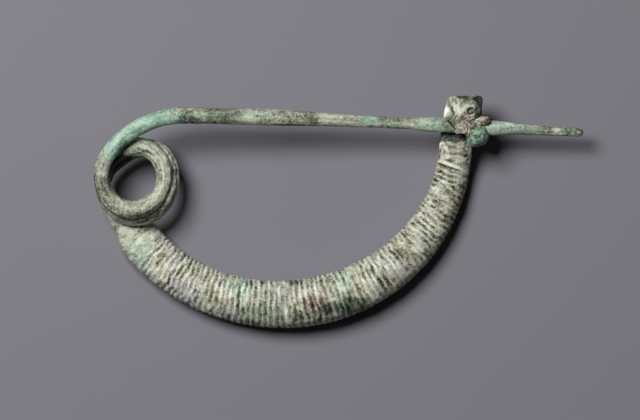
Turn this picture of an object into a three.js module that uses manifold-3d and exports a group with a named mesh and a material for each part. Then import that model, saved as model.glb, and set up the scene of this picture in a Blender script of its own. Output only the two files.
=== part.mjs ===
// Arch fibula, a bronze brooch of safety-pin form, cast and hammered as one piece. The foot of a thick
// ribbed bow is beaten out into a hooked catch; the other end is drawn down to a wire, coiled twice as
// the spring and run on as the pin, which corrosion has fixed in the catch.
// The brooch lies on its side: +X runs along the pin to its tip, +Y from the bow to the pin, +Z up.
// Millimetres throughout; angles are in radians unless a name says degrees.

import * as THREE from 'three';
import { mergeVertices } from 'three/addons/utils/BufferGeometryUtils.js';
import Module from 'manifold-3d';

// Bow: the lower arc of an ellipse, swelling from the foot to the middle
const BOW_CENTRE_X = -9.67;
const BOW_CENTRE_Y = 11.8;
const BOW_HALF_SPAN = 28.85;
const BOW_RISE = 26.9;
const BOW_START_DEGREES = -1;
const BOW_END_DEGREES = -146;
const BOW_RADIUS_AT_FOOT = 2.64;
const BOW_RADIUS_AT_MIDDLE = 3.97;
const BOW_RADIUS_AT_SPRING = 3.54;
const BOW_ROUNDNESS = 0.97; // height of the section over its width
const BOW_SWELL = [-0.05, 0.52]; // shares of its length, from the foot, between which it grows
const BOW_FALL = [0.5, 0.95]; // and between which it shrinks again

// Transverse ribs filed around the bow
const RIB_COUNT = 80;
const RIBS_FADE_IN = [0.055, 0.075]; // shares of the bow's length, from the foot
const RIBS_FADE_OUT = [0.925, 0.955];
const RIB_DEPTH = 0.28;
const RIB_UNEVENNESS = 0.25; // share of the depth that comes and goes along the bow
const RIB_LONG_WAVE = 23; // waves in that, in radians over the bow's length
const RIB_SHORT_WAVE = 61;
const RIB_LEAN_AT_FOOT = 0.35; // how far a rib's outer edge lies along the bow from its middle
const RIB_LEAN_AT_SPRING = -0.2;
const RIB_LEAN_TURNS = [0.1, 0.6];

// Foot: where the round bow flattens and lifts into the catch
const FOOT_SHARE = 0.07;
const FOOT_HALF_THICKNESS = 0.87;
const FOOT_LIFT = 5.25;
const FOOT_SQUARENESS = 0.7; // power of the section's corners: 1 is an ellipse, 0 a rectangle

// Spring: two turns of wire, stacked upwards and leaning towards the pin
const SPRING_X = -33.4;
const SPRING_Y = 4.98;
const SPRING_TURNS = 2;
const SPRING_START_HEIGHT = 5.0;
const SPRING_PITCH = 2.6;
const SPRING_LEAN_X = -0.66; // per turn
const SPRING_LEAN_Y = 1.02;
const SPRING_RADIUS_X_FIRST = 5.78;
const SPRING_RADIUS_X_LAST = 4.63;
const SPRING_RADIUS_Y_FIRST = 5.57;
const SPRING_RADIUS_Y_LAST = 5.3;
const SPRING_BULGES = [ // where each turn stands out to the right: middle, reach in degrees, amount
  [120, 75, 1.05],
  [520, 115, 0.37],
];
const WIRE_RADIUS = 1.39;
const WIRE_SWELL = 0.12; // thicker where the wire was bent round the top and bottom of each turn

// Neck: the taper from the end of the bow into the first turn
const NECK_FROM_BOW = 1.6;
const NECK_TO_SPRING = 2.6;
const NECK_FALL = 2.2;

// Pin: a quarter bend off the spring, then a long shank to the tip
const BEND_X = -25.25;
const BEND_Y = 15.74;
const BEND_HEIGHT = 10.7;
const BEND_FROM_SPRING = 4.5;
const BEND_TO_SHANK = 7.05;
const TIP_X = 40;
const TIP_Y = 13.03;
const TIP_HEIGHT = 6.0;
const LAST_STRETCH_X = 14.9; // the shank points at its tip from here on
const LAST_STRETCH_Y = 14.34;
const LAST_STRETCH_HEIGHT = 7.81;
const SHANK_HANDLE_START = 15.6;
const SHANK_HANDLE_TIP = 25.1;
const PIN_RADIUS = 1.32;
const PIN_RADIUS_WORN = 0.97;
const PIN_RADIUS_TIP = 0.7;
const PIN_WEAR = [-12, 6]; // X between which the shank thins
const PIN_TAPER = [24, 40]; // X between which it draws down to the tip
const PIN_CRUST = 0.24; // corrosion that thickens the shank on both sides of the catch
const PIN_CRUST_X = 20.5;
const PIN_CRUST_FULL = 5.1; // how far along the shank it stays thick, and how far it reaches
const PIN_CRUST_REACH = 8.5;
const TIP_ROUNDING = 0.46 * Math.PI; // how far round the tip's ball the last ring lies

// Catch: a strip that rises behind the pin, rolls over above it and comes down in front
const CATCH_START_Y = 9.6;
const CATCH_THICKNESS = 1.3;
const CATCH_BACK_HEIGHT = 5.5;
const CATCH_ROLL_Y = 16.56;
const CATCH_ROLL_RADIUS = 1.91;
const CATCH_FLAP_Y = 12.85;
const CATCH_SQUARENESS = 0.5;
const CATCH_EDGES = [ // distance along the strip as a share, left edge, right edge
  [0, 17.2, 20.6],
  [0.14, 16.6, 22.0],
  [0.24, 16.65, 22.9],
  [0.42, 17.3, 23.4],
  [0.6, 18.05, 23.4],
  [0.74, 18.0, 23.35],
  [0.8, 17.6, 23.1],
  [0.84, 17.35, 22.7],
  [0.88, 17.6, 21.3],
  [0.93, 18.5, 21.2],
  [1, 19.1, 21.0],
];

// Corrosion: a lump that fixes the pin in the catch, a smaller knob and a crust beside it, and a hole
// in the flap
const LUMP_CENTRE = [22.55, 12.65, 7.2];
const LUMP_HALF_SIZE = [1.95, 2.1, 2.7];
const LUMP_UNEVENNESS = 0.07;
const HOLLOW_CENTRE = [21.5, 16.5, 9.5]; // where the flap is eaten through
const HOLLOW_HALF_SIZE = [0.65, 0.6, 1.5];
const KNOB_CENTRE = [23.15, 15.0, 8.0];
const KNOB_HALF_SIZE = [1.5, 0.9, 1.5];
const KNOB_UNEVENNESS = 0.08;
const CRUST_CENTRE = [21.3, 13.9, 8.6]; // fills the gap between the flap and the lump
const CRUST_HALF_SIZE = [1.1, 1.6, 1.2];
const CRUST_UNEVENNESS = 0.1;
const CRUST_DETAIL = 1;

// The brooch bears on a narrow flat worn along the side of the bow that it lies on
const BEARING_CUT = 0.22;

// Facets around a bar and along each of its stretches
const SIDES = 16;
const CATCH_SIDES = 10;
const LUMP_DETAIL = 2;
const HOLLOW_DETAIL = 1;
const NECK_STEPS = 7;
const HALF_TURN_STEPS = 10;
const BEND_STEPS = 7;
const SHANK_STEPS = 13;
const TIP_STEPS = 3;
const CATCH_STEPS = 21;

const UP = new THREE.Vector3(0, 0, 1);
const ALONG_X = new THREE.Vector3(1, 0, 0);
const { degToRad, lerp, smoothstep } = THREE.MathUtils;

// A closed bar: a cylinder whose rings are laid on the sections that sectionAt gives from 0 to 1.
// A section has a centre, the directions across and up, two half sizes and a squareness. It may lean
// along the bar, and a groove takes it in all round but for the underside, where wear has taken it.
function bar(steps, sectionAt, sides = SIDES) {
  const cylinder = new THREE.CylinderGeometry(1, 1, 1, sides, steps);
  cylinder.deleteAttribute('normal');
  cylinder.deleteAttribute('uv');
  const geometry = mergeVertices(cylinder, 1e-4);
  const position = geometry.attributes.position;
  const sections = Array.from({ length: steps + 1 }, (_, ring) => sectionAt(ring / steps));
  for (let i = 0; i < position.count; i += 1) {
    const ring = Math.round((0.5 - position.getY(i)) * steps);
    const section = sections[ring];
    const reach = Math.hypot(position.getX(i), position.getZ(i)) < 0.5 ? 0 : 1;
    const angle = Math.atan2(position.getZ(i), position.getX(i));
    const place = sectionPoint(section, angle, reach);
    position.setXYZ(i, place.x, place.y, place.z);
  }
  return geometry;
}

function sectionPoint(section, angle, reach) {
  const { centre, across, up, square = 1, lean = 0, groove = 0 } = section;
  const worn = groove * smoothstep(Math.sin(angle), -1, -0.7);
  const halfWidth = section.halfWidth - worn;
  const halfHeight = section.halfHeight - worn;
  const cosine = Math.sign(Math.cos(angle)) * Math.abs(Math.cos(angle)) ** square;
  const sine = Math.sign(Math.sin(angle)) * Math.abs(Math.sin(angle)) ** square;
  const along = new THREE.Vector3().crossVectors(across, up);
  return centre.clone()
    .addScaledVector(across, reach * halfWidth * cosine)
    .addScaledVector(up, reach * halfHeight * sine)
    .addScaledVector(along, reach * lean * cosine);
}

// A section square to a course, with its width kept level
function levelSection(centre, tangent, halfWidth, halfHeight, extra = {}) {
  const across = new THREE.Vector3().crossVectors(UP, tangent).normalize();
  const up = new THREE.Vector3().crossVectors(tangent, across).normalize();
  return { centre, across, up, halfWidth, halfHeight, ...extra };
}

function bowAngle(share) {
  return degToRad(lerp(BOW_START_DEGREES, BOW_END_DEGREES, share));
}

function bowPlace(share, height) {
  const angle = bowAngle(share);
  const x = BOW_CENTRE_X + BOW_HALF_SPAN * Math.cos(angle);
  const y = BOW_CENTRE_Y + BOW_RISE * Math.sin(angle);
  return new THREE.Vector3(x, y, height);
}

function bowTangent(share) {
  const angle = bowAngle(share);
  return new THREE.Vector3(BOW_HALF_SPAN * Math.sin(angle), -BOW_RISE * Math.cos(angle), 0).normalize();
}

function bowRadius(share) {
  const swell = smoothstep(share, ...BOW_SWELL);
  const fall = smoothstep(share, ...BOW_FALL);
  const middle = lerp(BOW_RADIUS_AT_FOOT, BOW_RADIUS_AT_MIDDLE, swell);
  return middle - (BOW_RADIUS_AT_MIDDLE - BOW_RADIUS_AT_SPRING) * fall;
}

// Ribs alternate crest and groove, ring by ring, and wander a little as filed work does
function bowSection(share, ring) {
  const ribbed = smoothstep(share, ...RIBS_FADE_IN) * (1 - smoothstep(share, ...RIBS_FADE_OUT));
  const wave = Math.sin(share * RIB_SHORT_WAVE) * Math.sin(share * RIB_LONG_WAVE + 1);
  const depth = RIB_DEPTH * ribbed * (1 + RIB_UNEVENNESS * (wave - 1));
  const groove = ring % 2 === 1 ? depth : 0;
  const flat = 1 - smoothstep(share, 0, FOOT_SHARE);
  const radius = bowRadius(share);
  const halfHeight = lerp(radius * BOW_ROUNDNESS, FOOT_HALF_THICKNESS, flat);
  const height = lerp(radius * BOW_ROUNDNESS - BEARING_CUT, FOOT_LIFT, flat);
  const lean = ribbed * lerp(RIB_LEAN_AT_FOOT, RIB_LEAN_AT_SPRING, smoothstep(share, ...RIB_LEAN_TURNS));
  const extra = { lean, groove, square: lerp(1, FOOT_SQUARENESS, flat) };
  return levelSection(bowPlace(share, height), bowTangent(share), radius, halfHeight, extra);
}

// The spring winds clockwise seen from above, from the left of the first turn to the left of the last
function springPlace(angle) {
  const turn = angle / (2 * Math.PI);
  const bulge = SPRING_BULGES.reduce((sum, [middle, reach, amount]) => {
    const off = Math.abs(angle - degToRad(middle));
    return sum + amount * (1 - smoothstep(off, 0, degToRad(reach)));
  }, 0);
  const radiusX = bulge + lerp(SPRING_RADIUS_X_FIRST, SPRING_RADIUS_X_LAST, turn / SPRING_TURNS);
  const radiusY = bulge + lerp(SPRING_RADIUS_Y_FIRST, SPRING_RADIUS_Y_LAST, turn / SPRING_TURNS);
  const x = SPRING_X + SPRING_LEAN_X * (turn - SPRING_TURNS / 2) - radiusX * Math.cos(angle);
  const y = SPRING_Y + SPRING_LEAN_Y * (turn - SPRING_TURNS / 2) + radiusY * Math.sin(angle);
  return new THREE.Vector3(x, y, SPRING_START_HEIGHT + SPRING_PITCH * turn);
}

function springTangent(angle) {
  return springPlace(angle + 0.01).sub(springPlace(angle - 0.01)).normalize();
}

function springSection(angle) {
  const radius = WIRE_RADIUS - WIRE_SWELL * Math.cos(2 * angle);
  return levelSection(springPlace(angle), springTangent(angle), radius, WIRE_RADIUS);
}

function curveSection(curve, t, halfWidth, halfHeight = halfWidth) {
  return levelSection(curve.getPoint(t), curve.getTangent(t), halfWidth, halfHeight);
}

const wireAtSpringStart = springSection(0);
const bowEnd = bowSection(1, 0);
const neckCourse = new THREE.CubicBezierCurve3(
  bowEnd.centre,
  bowEnd.centre.clone().addScaledVector(bowTangent(1), NECK_FROM_BOW),
  springPlace(0).addScaledVector(springTangent(0), -NECK_TO_SPRING),
  springPlace(0),
);

function neckSection(t) {
  const rest = (1 - t) ** NECK_FALL;
  const halfWidth = lerp(wireAtSpringStart.halfWidth, bowEnd.halfWidth, rest);
  const halfHeight = lerp(wireAtSpringStart.halfHeight, bowEnd.halfHeight, rest);
  return curveSection(neckCourse, t, halfWidth, halfHeight);
}

const springEnd = SPRING_TURNS * 2 * Math.PI;
const lastJoin = 2.9 * Math.PI; // just short of a turn on from the first join, so no bar meets itself
const bendPlace = new THREE.Vector3(BEND_X, BEND_Y, BEND_HEIGHT);
const tipPlace = new THREE.Vector3(TIP_X, TIP_Y, TIP_HEIGHT);
const shankSlope = new THREE.Vector3(1, 0, (TIP_HEIGHT - BEND_HEIGHT) / (TIP_X - BEND_X)).normalize();
const lastStretch = new THREE.Vector3(LAST_STRETCH_X, LAST_STRETCH_Y, LAST_STRETCH_HEIGHT);
const tipSlope = tipPlace.clone().sub(lastStretch).normalize();
const bendCourse = new THREE.CubicBezierCurve3(
  springPlace(springEnd),
  springPlace(springEnd).addScaledVector(springTangent(springEnd), BEND_FROM_SPRING),
  bendPlace.clone().addScaledVector(shankSlope, -BEND_TO_SHANK),
  bendPlace,
);
const shankEnd = tipPlace.clone().addScaledVector(tipSlope, -PIN_RADIUS_TIP);
const shankCourse = new THREE.CubicBezierCurve3(
  bendPlace,
  bendPlace.clone().addScaledVector(shankSlope, SHANK_HANDLE_START),
  shankEnd.clone().addScaledVector(tipSlope, -SHANK_HANDLE_TIP),
  shankEnd,
);

function shankSection(t) {
  const x = shankCourse.getPoint(t).x;
  const worn = lerp(PIN_RADIUS, PIN_RADIUS_WORN, smoothstep(x, ...PIN_WEAR));
  const tapered = lerp(worn, PIN_RADIUS_TIP, smoothstep(x, ...PIN_TAPER));
  const crust = PIN_CRUST * (1 - smoothstep(Math.abs(x - PIN_CRUST_X), PIN_CRUST_FULL, PIN_CRUST_REACH));
  return curveSection(shankCourse, t, tapered + crust);
}

// The tip is rounded off
function tipSection(t) {
  const turned = t * TIP_ROUNDING;
  const centre = tipPlace.clone().addScaledVector(tipSlope, PIN_RADIUS_TIP * (Math.sin(turned) - 1));
  return levelSection(centre, tipSlope, PIN_RADIUS_TIP * Math.cos(turned), PIN_RADIUS_TIP * Math.cos(turned));
}

// Bars that share an end use the same section there, so they join face to face
function pieces(stretches) {
  const sections = stretches.flatMap(({ steps, at }, index) => {
    const first = index === 0 ? 0 : 1;
    return Array.from({ length: steps + 1 - first }, (_, i) => at((i + first) / steps));
  });
  return bar(sections.length - 1, (t) => sections[Math.round(t * (sections.length - 1))]);
}

function turnStretch(from, to) {
  const steps = Math.round(((to - from) / Math.PI) * HALF_TURN_STEPS);
  return { steps, at: (t) => springSection(lerp(from, to, t)) };
}

function bendSection(t) {
  return curveSection(bendCourse, t, lerp(wireAtSpringStart.halfWidth, PIN_RADIUS, t));
}

const bowSteps = 2 * RIB_COUNT;
const bow = pieces([
  { steps: bowSteps, at: (t) => bowSection(t, Math.round(t * bowSteps)) },
  { steps: NECK_STEPS, at: neckSection },
  turnStretch(0, Math.PI),
]);
const spring = pieces([turnStretch(Math.PI, lastJoin)]);
const pin = pieces([
  turnStretch(lastJoin, springEnd),
  { steps: BEND_STEPS, at: bendSection },
  { steps: SHANK_STEPS, at: shankSection },
  { steps: TIP_STEPS, at: tipSection },
]);

// The catch strip, laid along its course behind the pin, round the roll and down the front
function catchSection(t) {
  const back = CATCH_ROLL_Y - CATCH_START_Y;
  const round = Math.PI * CATCH_ROLL_RADIUS;
  const distance = t * (back + round + CATCH_ROLL_Y - CATCH_FLAP_Y);
  const turned = Math.PI * THREE.MathUtils.clamp((distance - back) / round, 0, 1);
  const before = Math.min(0, distance - back);
  const after = Math.max(0, distance - back - round);
  const y = CATCH_ROLL_Y + before - after + CATCH_ROLL_RADIUS * Math.sin(turned);
  const height = CATCH_BACK_HEIGHT + CATCH_ROLL_RADIUS * (1 - Math.cos(turned));
  const [left, right] = catchEdges(t);
  const tangent = new THREE.Vector3(0, Math.cos(turned), Math.sin(turned));
  return {
    centre: new THREE.Vector3((left + right) / 2, y, height),
    across: ALONG_X.clone().negate(),
    up: new THREE.Vector3().crossVectors(tangent, ALONG_X.clone().negate()),
    halfWidth: (right - left) / 2,
    halfHeight: CATCH_THICKNESS / 2,
    square: CATCH_SQUARENESS,
  };
}

function catchEdges(t) {
  const next = CATCH_EDGES.findIndex(([share]) => share >= t - 1e-9);
  const [toShare, toLeft, toRight] = CATCH_EDGES[Math.max(1, next)];
  const [fromShare, fromLeft, fromRight] = CATCH_EDGES[Math.max(1, next) - 1];
  const part = (t - fromShare) / (toShare - fromShare);
  return [lerp(fromLeft, toLeft, part), lerp(fromRight, toRight, part)];
}

// A crusty lump: a ball drawn out to three half sizes, with uneven bumps
function lump(centre, halfSize, unevenness, detail = LUMP_DETAIL) {
  const ball = new THREE.IcosahedronGeometry(1, detail);
  ball.deleteAttribute('normal');
  ball.deleteAttribute('uv');
  const geometry = mergeVertices(ball, 1e-4);
  const position = geometry.attributes.position;
  const point = new THREE.Vector3();
  for (let i = 0; i < position.count; i += 1) {
    point.fromBufferAttribute(position, i);
    const broad = Math.sin(3 * point.x + 1) * Math.cos(3 * point.y);
    const fine = Math.sin(4 * point.z + 2 * point.y) / 2;
    point.multiplyScalar(1 + unevenness * (broad + fine));
    point.multiply(new THREE.Vector3(...halfSize));
    point.add(new THREE.Vector3(...centre));
    position.setXYZ(i, point.x, point.y, point.z);
  }
  return geometry;
}

const wasm = await Module();
wasm.setup();

function solid(geometry) {
  const vertProperties = new Float32Array(geometry.attributes.position.array);
  const triVerts = new Uint32Array(geometry.index.array);
  return new wasm.Manifold(new wasm.Mesh({ numProp: 3, vertProperties, triVerts }));
}

function toGeometry(manifold) {
  const mesh = manifold.getMesh();
  const geometry = new THREE.BufferGeometry();
  geometry.setAttribute('position', new THREE.BufferAttribute(new Float32Array(mesh.vertProperties), 3));
  geometry.setIndex(new THREE.BufferAttribute(new Uint32Array(mesh.triVerts), 1));
  return geometry;
}

// Everything below the ground is cut away
const GROUND_SIZE = 200;
const below = new THREE.BoxGeometry(GROUND_SIZE, GROUND_SIZE, GROUND_SIZE);
below.deleteAttribute('normal');
below.deleteAttribute('uv');
below.translate(0, 0, -GROUND_SIZE / 2);

const parts = [
  bow,
  spring,
  pin,
  bar(CATCH_STEPS, catchSection, CATCH_SIDES),
  lump(LUMP_CENTRE, LUMP_HALF_SIZE, LUMP_UNEVENNESS),
  lump(KNOB_CENTRE, KNOB_HALF_SIZE, KNOB_UNEVENNESS),
  lump(CRUST_CENTRE, CRUST_HALF_SIZE, CRUST_UNEVENNESS, CRUST_DETAIL),
];
const hollow = lump(HOLLOW_CENTRE, HOLLOW_HALF_SIZE, 0, HOLLOW_DETAIL);
const joined = parts.map(solid).reduce((sum, next) => sum.add(next));
const whole = joined.subtract(solid(hollow)).subtract(solid(mergeVertices(below)));

// The origin is under the middle of the brooch's box
const brooch = toGeometry(whole);
brooch.computeBoundingBox();
const middle = brooch.boundingBox.getCenter(new THREE.Vector3());
brooch.translate(-middle.x, -middle.y, -brooch.boundingBox.min.z);
brooch.computeVertexNormals();

const bronze = new THREE.MeshStandardMaterial({ color: '#8d927f', roughness: 0.75, metalness: 0.35 });
const fibula = new THREE.Mesh(brooch, bronze);
fibula.name = 'fibula';

const group = new THREE.Group();
group.add(fibula);

export default group;
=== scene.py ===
"""Looks of an arch fibula, a bronze brooch of safety-pin form, under its buff and green patina.

The whole brooch is one closed mesh. It is lofted along the same courses as the solid, from the same
sizes, and it adds the filed ribs, the draw lines of the wire, and the crusts and pits of corrosion.
Sizes are in millimetres until a mesh is made, and angles are in radians unless a note says degrees.
"""

import logging
import math
from dataclasses import dataclass, field
from enum import Enum

import bpy
import numpy as np
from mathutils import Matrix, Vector, kdtree, noise


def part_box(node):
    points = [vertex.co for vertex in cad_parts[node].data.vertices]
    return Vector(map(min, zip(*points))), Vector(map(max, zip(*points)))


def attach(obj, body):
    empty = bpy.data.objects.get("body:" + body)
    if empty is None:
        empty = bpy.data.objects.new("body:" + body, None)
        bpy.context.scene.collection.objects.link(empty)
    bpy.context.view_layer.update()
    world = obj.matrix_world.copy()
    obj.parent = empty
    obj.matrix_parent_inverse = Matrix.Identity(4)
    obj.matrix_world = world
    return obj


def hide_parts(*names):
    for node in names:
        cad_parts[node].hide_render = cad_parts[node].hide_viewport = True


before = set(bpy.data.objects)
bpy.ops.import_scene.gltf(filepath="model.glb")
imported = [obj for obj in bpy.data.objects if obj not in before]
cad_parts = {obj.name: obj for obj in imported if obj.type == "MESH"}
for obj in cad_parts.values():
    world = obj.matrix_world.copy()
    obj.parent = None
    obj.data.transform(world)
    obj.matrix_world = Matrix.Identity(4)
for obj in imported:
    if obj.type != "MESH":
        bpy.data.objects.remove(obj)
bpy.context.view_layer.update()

Array = np.ndarray
Pair = tuple[float, float]
Triple = tuple[float, float, float]
Colour = tuple[float, float, float, float]
Thing = bpy.types.Object
Tree = bpy.types.NodeTree
Socket = bpy.types.NodeSocket

MM = 0.001
UP = np.array([0.0, 0.0, 1.0])
ALONG_X = np.array([1.0, 0.0, 0.0])
TURN = 2 * math.pi
SOLID_NODE = "fibula"
CREST_SHARPNESS = 0.9

# Relief of plain skin, and of skin half way between a hollow and a crest
PLAIN_RELIEF = 0.6
MIDDLE_RELIEF = 0.5

# How far noise shifts a stain's edge, and where the edge fades, in half sizes of the stain
STAIN_RAGGEDNESS = 0.45
STAIN_EDGE = (0.55, 1.15)

# Sockets of the Mix node that take and give colours
MIX_UNDER, MIX_OVER, MIX_RESULT = 6, 7, 2

log = logging.getLogger("fibula")


class Part(Enum):
    """Stretches of the brooch, by the number that its points carry."""

    BOW = 1
    SPRING = 2
    PIN = 3
    CATCH = 4
    LUMP = 5
    KNOB = 6


class Mark(Enum):
    """Values that each point gets when it is lofted, by the names of the mesh's attributes.

    Attributes:
        KNOWN: 1, so that points which a union adds stand out by their 0.
        PART: number of the stretch.
        ALONG: millimetres along the stretch.
        SIDE: from -1 to 1 across the section.
        TOP: from -1 underneath to 1 on top.
        RELIEF: from 0 in a hollow to 1 on a crest.
    """

    KNOWN = "known"
    PART = "part"
    ALONG = "along"
    SIDE = "side"
    TOP = "top"
    RELIEF = "relief"


class Tint(Enum):
    """What covers the metal, by the names of the attributes that the finish reads; the tone also carries
    painted shade and a painted highlight.
    """

    TONE = "tone"
    VERDIGRIS = "verdigris"
    MALACHITE = "malachite"
    CUPRITE = "cuprite"
    ASH = "ash"


def lerp(start: float | Array, end: float | Array, share: float | Array) -> float | Array:
    """Value part of the way from start to end."""
    return start + (end - start) * share


def smoothstep(value: float | Array, low: float, high: float) -> float | Array:
    """Ease from 0 at low to 1 at high."""
    share = np.clip((value - low) / (high - low), 0.0, 1.0)
    return share * share * (3 - 2 * share)


def unit(vectors: Array) -> Array:
    """Vectors made one long, along the last axis."""
    return vectors / np.linalg.norm(vectors, axis=-1, keepdims=True)


def around(sides: int) -> Array:
    """Angles of the points of one ring."""
    return np.linspace(0, TURN, sides, endpoint=False)


def cornered(wave: Array, power: float | Array) -> Array:
    """A sine or cosine pushed out into the corners of a section, the more the lower the power."""
    return np.sign(wave) * np.abs(wave) ** power


def crests(phase: Array) -> Array:
    """Narrow crests: 1 at each whole number, and 0 half way between two."""
    return (1 - np.abs(np.sin(math.pi * phase))) ** CREST_SHARPNESS


def linear(srgb: str) -> Colour:
    """Linear colour of an sRGB value.

    Args:
        srgb: a hex value, such as "#a2a797".

    Returns:
        Red, green, blue and a full alpha.
    """
    channels = [int(srgb[i : i + 2], 16) / 255 for i in (1, 3, 5)]
    red, green, blue = [c / 12.92 if c <= 0.04045 else ((c + 0.055) / 1.055) ** 2.4 for c in channels]
    return red, green, blue, 1.0


def around_bar(marks: dict[Mark, Array], size: float) -> Array:
    """Places for a pattern that follows a bar: along it, and around a section of some half size."""
    return np.stack([marks[Mark.ALONG], marks[Mark.SIDE] * size, marks[Mark.TOP] * size], axis=-1)


def add_node(tree: Tree, kind: str, links: dict | None = None, **settings: object) -> bpy.types.Node:
    """Add a node to a tree.

    Args:
        tree: the tree that it goes into.
        kind: the node's Blender type.
        links: sockets that feed its inputs, or plain values for them, by the inputs' names or numbers.
        settings: the node's own properties.

    Returns:
        The new node.
    """
    node = tree.nodes.new(kind)
    for name, value in settings.items():
        setattr(node, name, value)
    for name, source in (links or {}).items():
        if isinstance(source, Socket):
            tree.links.new(source, node.inputs[name])
        else:
            node.inputs[name].default_value = source
    return node


def add_object(name: str, data: bpy.types.ID) -> Thing:
    """Add an object to the scene.

    Args:
        name: the object's name.
        data: its mesh, lamp or camera.

    Returns:
        The new object.
    """
    thing = bpy.data.objects.new(name, data)
    bpy.context.scene.collection.objects.link(thing)
    return thing


def read_attribute(mesh: bpy.types.Mesh, name: str) -> Array:
    """Values of a mesh's attribute.

    Args:
        mesh: the mesh that has it.
        name: the attribute's name.

    Returns:
        One value for each point.
    """
    values = np.empty(len(mesh.vertices), np.float32)
    mesh.attributes[name].data.foreach_get("value", values)
    return values.astype(float)


def write_attribute(mesh: bpy.types.Mesh, name: str, values: Array) -> None:
    """Set a mesh's attribute, which is made if the mesh hasn't got it.

    Args:
        mesh: the mesh that carries it.
        name: the attribute's name.
        values: one value for each point.
    """
    attribute = mesh.attributes.get(name) or mesh.attributes.new(name, "FLOAT", "POINT")
    attribute.data.foreach_set("value", values.astype(np.float32))


def read_points(source: bpy.types.bpy_prop_collection, name: str, count: int) -> Array:
    """Vectors of a mesh's points.

    Args:
        source: what holds them, such as the mesh's vertices.
        name: the property that is read.
        count: how many points there are.

    Returns:
        Rows of three coordinates, as Blender keeps them.
    """
    rows = np.empty(count * 3, np.float32)
    source.foreach_get(name, rows)
    return rows.reshape(-1, 3)


@dataclass(frozen=True)
class Cloud:
    """Fractal noise, the same each time.

    Attributes:
        size: size of its broadest features, or one for each coordinate.
        seed: shift that makes one cloud unlike another.
        layers: how many sizes of feature it has, each half as large as the last.
    """

    size: float | Triple
    seed: float
    layers: int = 2

    def at(self, places: Array) -> Array:
        """Values from about -1 to 1 at rows of three coordinates."""
        rows = (places / np.array(self.size) + self.seed).tolist()
        return np.array([noise.fractal(row, 1.0, 2.0, self.layers) for row in rows])


@dataclass
class Stations:
    """Sections along a bar, a row for each ring.

    Attributes:
        centre: middles of the sections.
        tangent: directions that the bar runs in.
        half_width: half sizes on the level.
        half_height: half sizes square to that.
        squareness: powers of the corners, 1 for an ellipse and 0 for a rectangle.
        lean: how far the outer edge lies along the bar from the middle.
        across: directions of the width, level unless they are given.
    """

    centre: Array
    tangent: Array
    half_width: Array
    half_height: Array
    squareness: Array | None = None
    lean: Array | None = None
    across: Array | None = None

    def __post_init__(self) -> None:
        """Fill in what isn't given."""
        if self.squareness is None:
            self.squareness = np.ones(len(self.centre))
        if self.lean is None:
            self.lean = np.zeros(len(self.centre))
        if self.across is None:
            self.across = unit(np.cross(UP, self.tangent))

    def rings(self, first: int, end: int) -> "Stations":
        """Stations from one ring up to, and without, another."""
        return Stations(*[getattr(self, name)[first:end] for name in self.__dataclass_fields__])

    def then(self, other: "Stations") -> "Stations":
        """Stations of this bar and, after its last ring, those of one that begins on that ring."""
        names = self.__dataclass_fields__
        return Stations(*[np.concatenate([getattr(self, n), getattr(other, n)[1:]]) for n in names])

    def distance(self) -> Array:
        """How far along the bar each ring is."""
        steps = np.linalg.norm(np.diff(self.centre, axis=0), axis=1)
        return np.concatenate([[0.0], np.cumsum(steps)])


@dataclass
class Shell:
    """A closed mesh.

    Attributes:
        points: rows of three coordinates.
        faces: numbers of each face's points, anticlockwise from outside.
        marks: a value of each mark for every point.
    """

    points: Array
    faces: list[tuple[int, ...]]
    marks: dict[Mark, Array]

    def to_object(self, name: str) -> Thing:
        """Blender object of this shell, in metres.

        Args:
            name: name of the object and of its mesh.

        Returns:
            The object, in the scene.
        """
        mesh = bpy.data.meshes.new(name)
        mesh.from_pydata((self.points * MM).tolist(), [], self.faces)
        for mark, values in self.marks.items():
            write_attribute(mesh, mark.value, values)
        return add_object(name, mesh)


def loft(
    stations: Stations, part: Part, sides: int, offset: Array, relief: Array, first: float = 0.0
) -> Shell:
    """Closed bar through its stations.

    Args:
        stations: the sections, in order.
        part: the stretch that the bar belongs to.
        sides: points around each ring.
        offset: how far each point stands off its section, a row for each ring.
        relief: how much each point is a crest, from 0 to 1, a row for each ring.
        first: distance along the part at which the bar begins.

    Returns:
        The bar, closed by a fan at each end.
    """
    rings = len(stations.centre)
    angle = around(sides)
    power = stations.squareness[:, None]
    cosine = cornered(np.cos(angle), power)
    sine = cornered(np.sin(angle), power)
    up = unit(np.cross(stations.tangent, stations.across))
    width = ((stations.half_width[:, None] + offset) * cosine)[..., None] * stations.across[:, None, :]
    height = ((stations.half_height[:, None] + offset) * sine)[..., None] * up[:, None, :]
    along = (stations.lean[:, None] * cosine)[..., None] * stations.tangent[:, None, :]
    skin = (stations.centre[:, None, :] + width + height + along).reshape(-1, 3)
    points = np.vstack([skin, stations.centre[:1], stations.centre[-1:]])

    here = np.arange(rings * sides).reshape(rings, sides)
    beside = np.roll(here, -1, axis=1)
    quads = np.stack([here[:-1], beside[:-1], beside[1:], here[1:]], axis=-1).reshape(-1, 4)
    start = [(rings * sides, int(b), int(a)) for a, b in zip(here[0], beside[0])]
    end = [(rings * sides + 1, int(a), int(b)) for a, b in zip(here[-1], beside[-1])]

    distance = np.repeat(first + stations.distance(), sides)
    marks = {
        Mark.KNOWN: np.ones(len(points)),
        Mark.PART: np.full(len(points), float(part.value)),
        Mark.ALONG: np.append(distance, distance[[0, -1]]),
        Mark.SIDE: np.append(np.tile(np.cos(angle), rings), [0.0, 0.0]),
        Mark.TOP: np.append(np.tile(np.sin(angle), rings), [0.0, 0.0]),
        Mark.RELIEF: np.append(relief.reshape(-1), [MIDDLE_RELIEF, MIDDLE_RELIEF]),
    }
    return Shell(points, quads.tolist() + start + end, marks)


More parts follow.
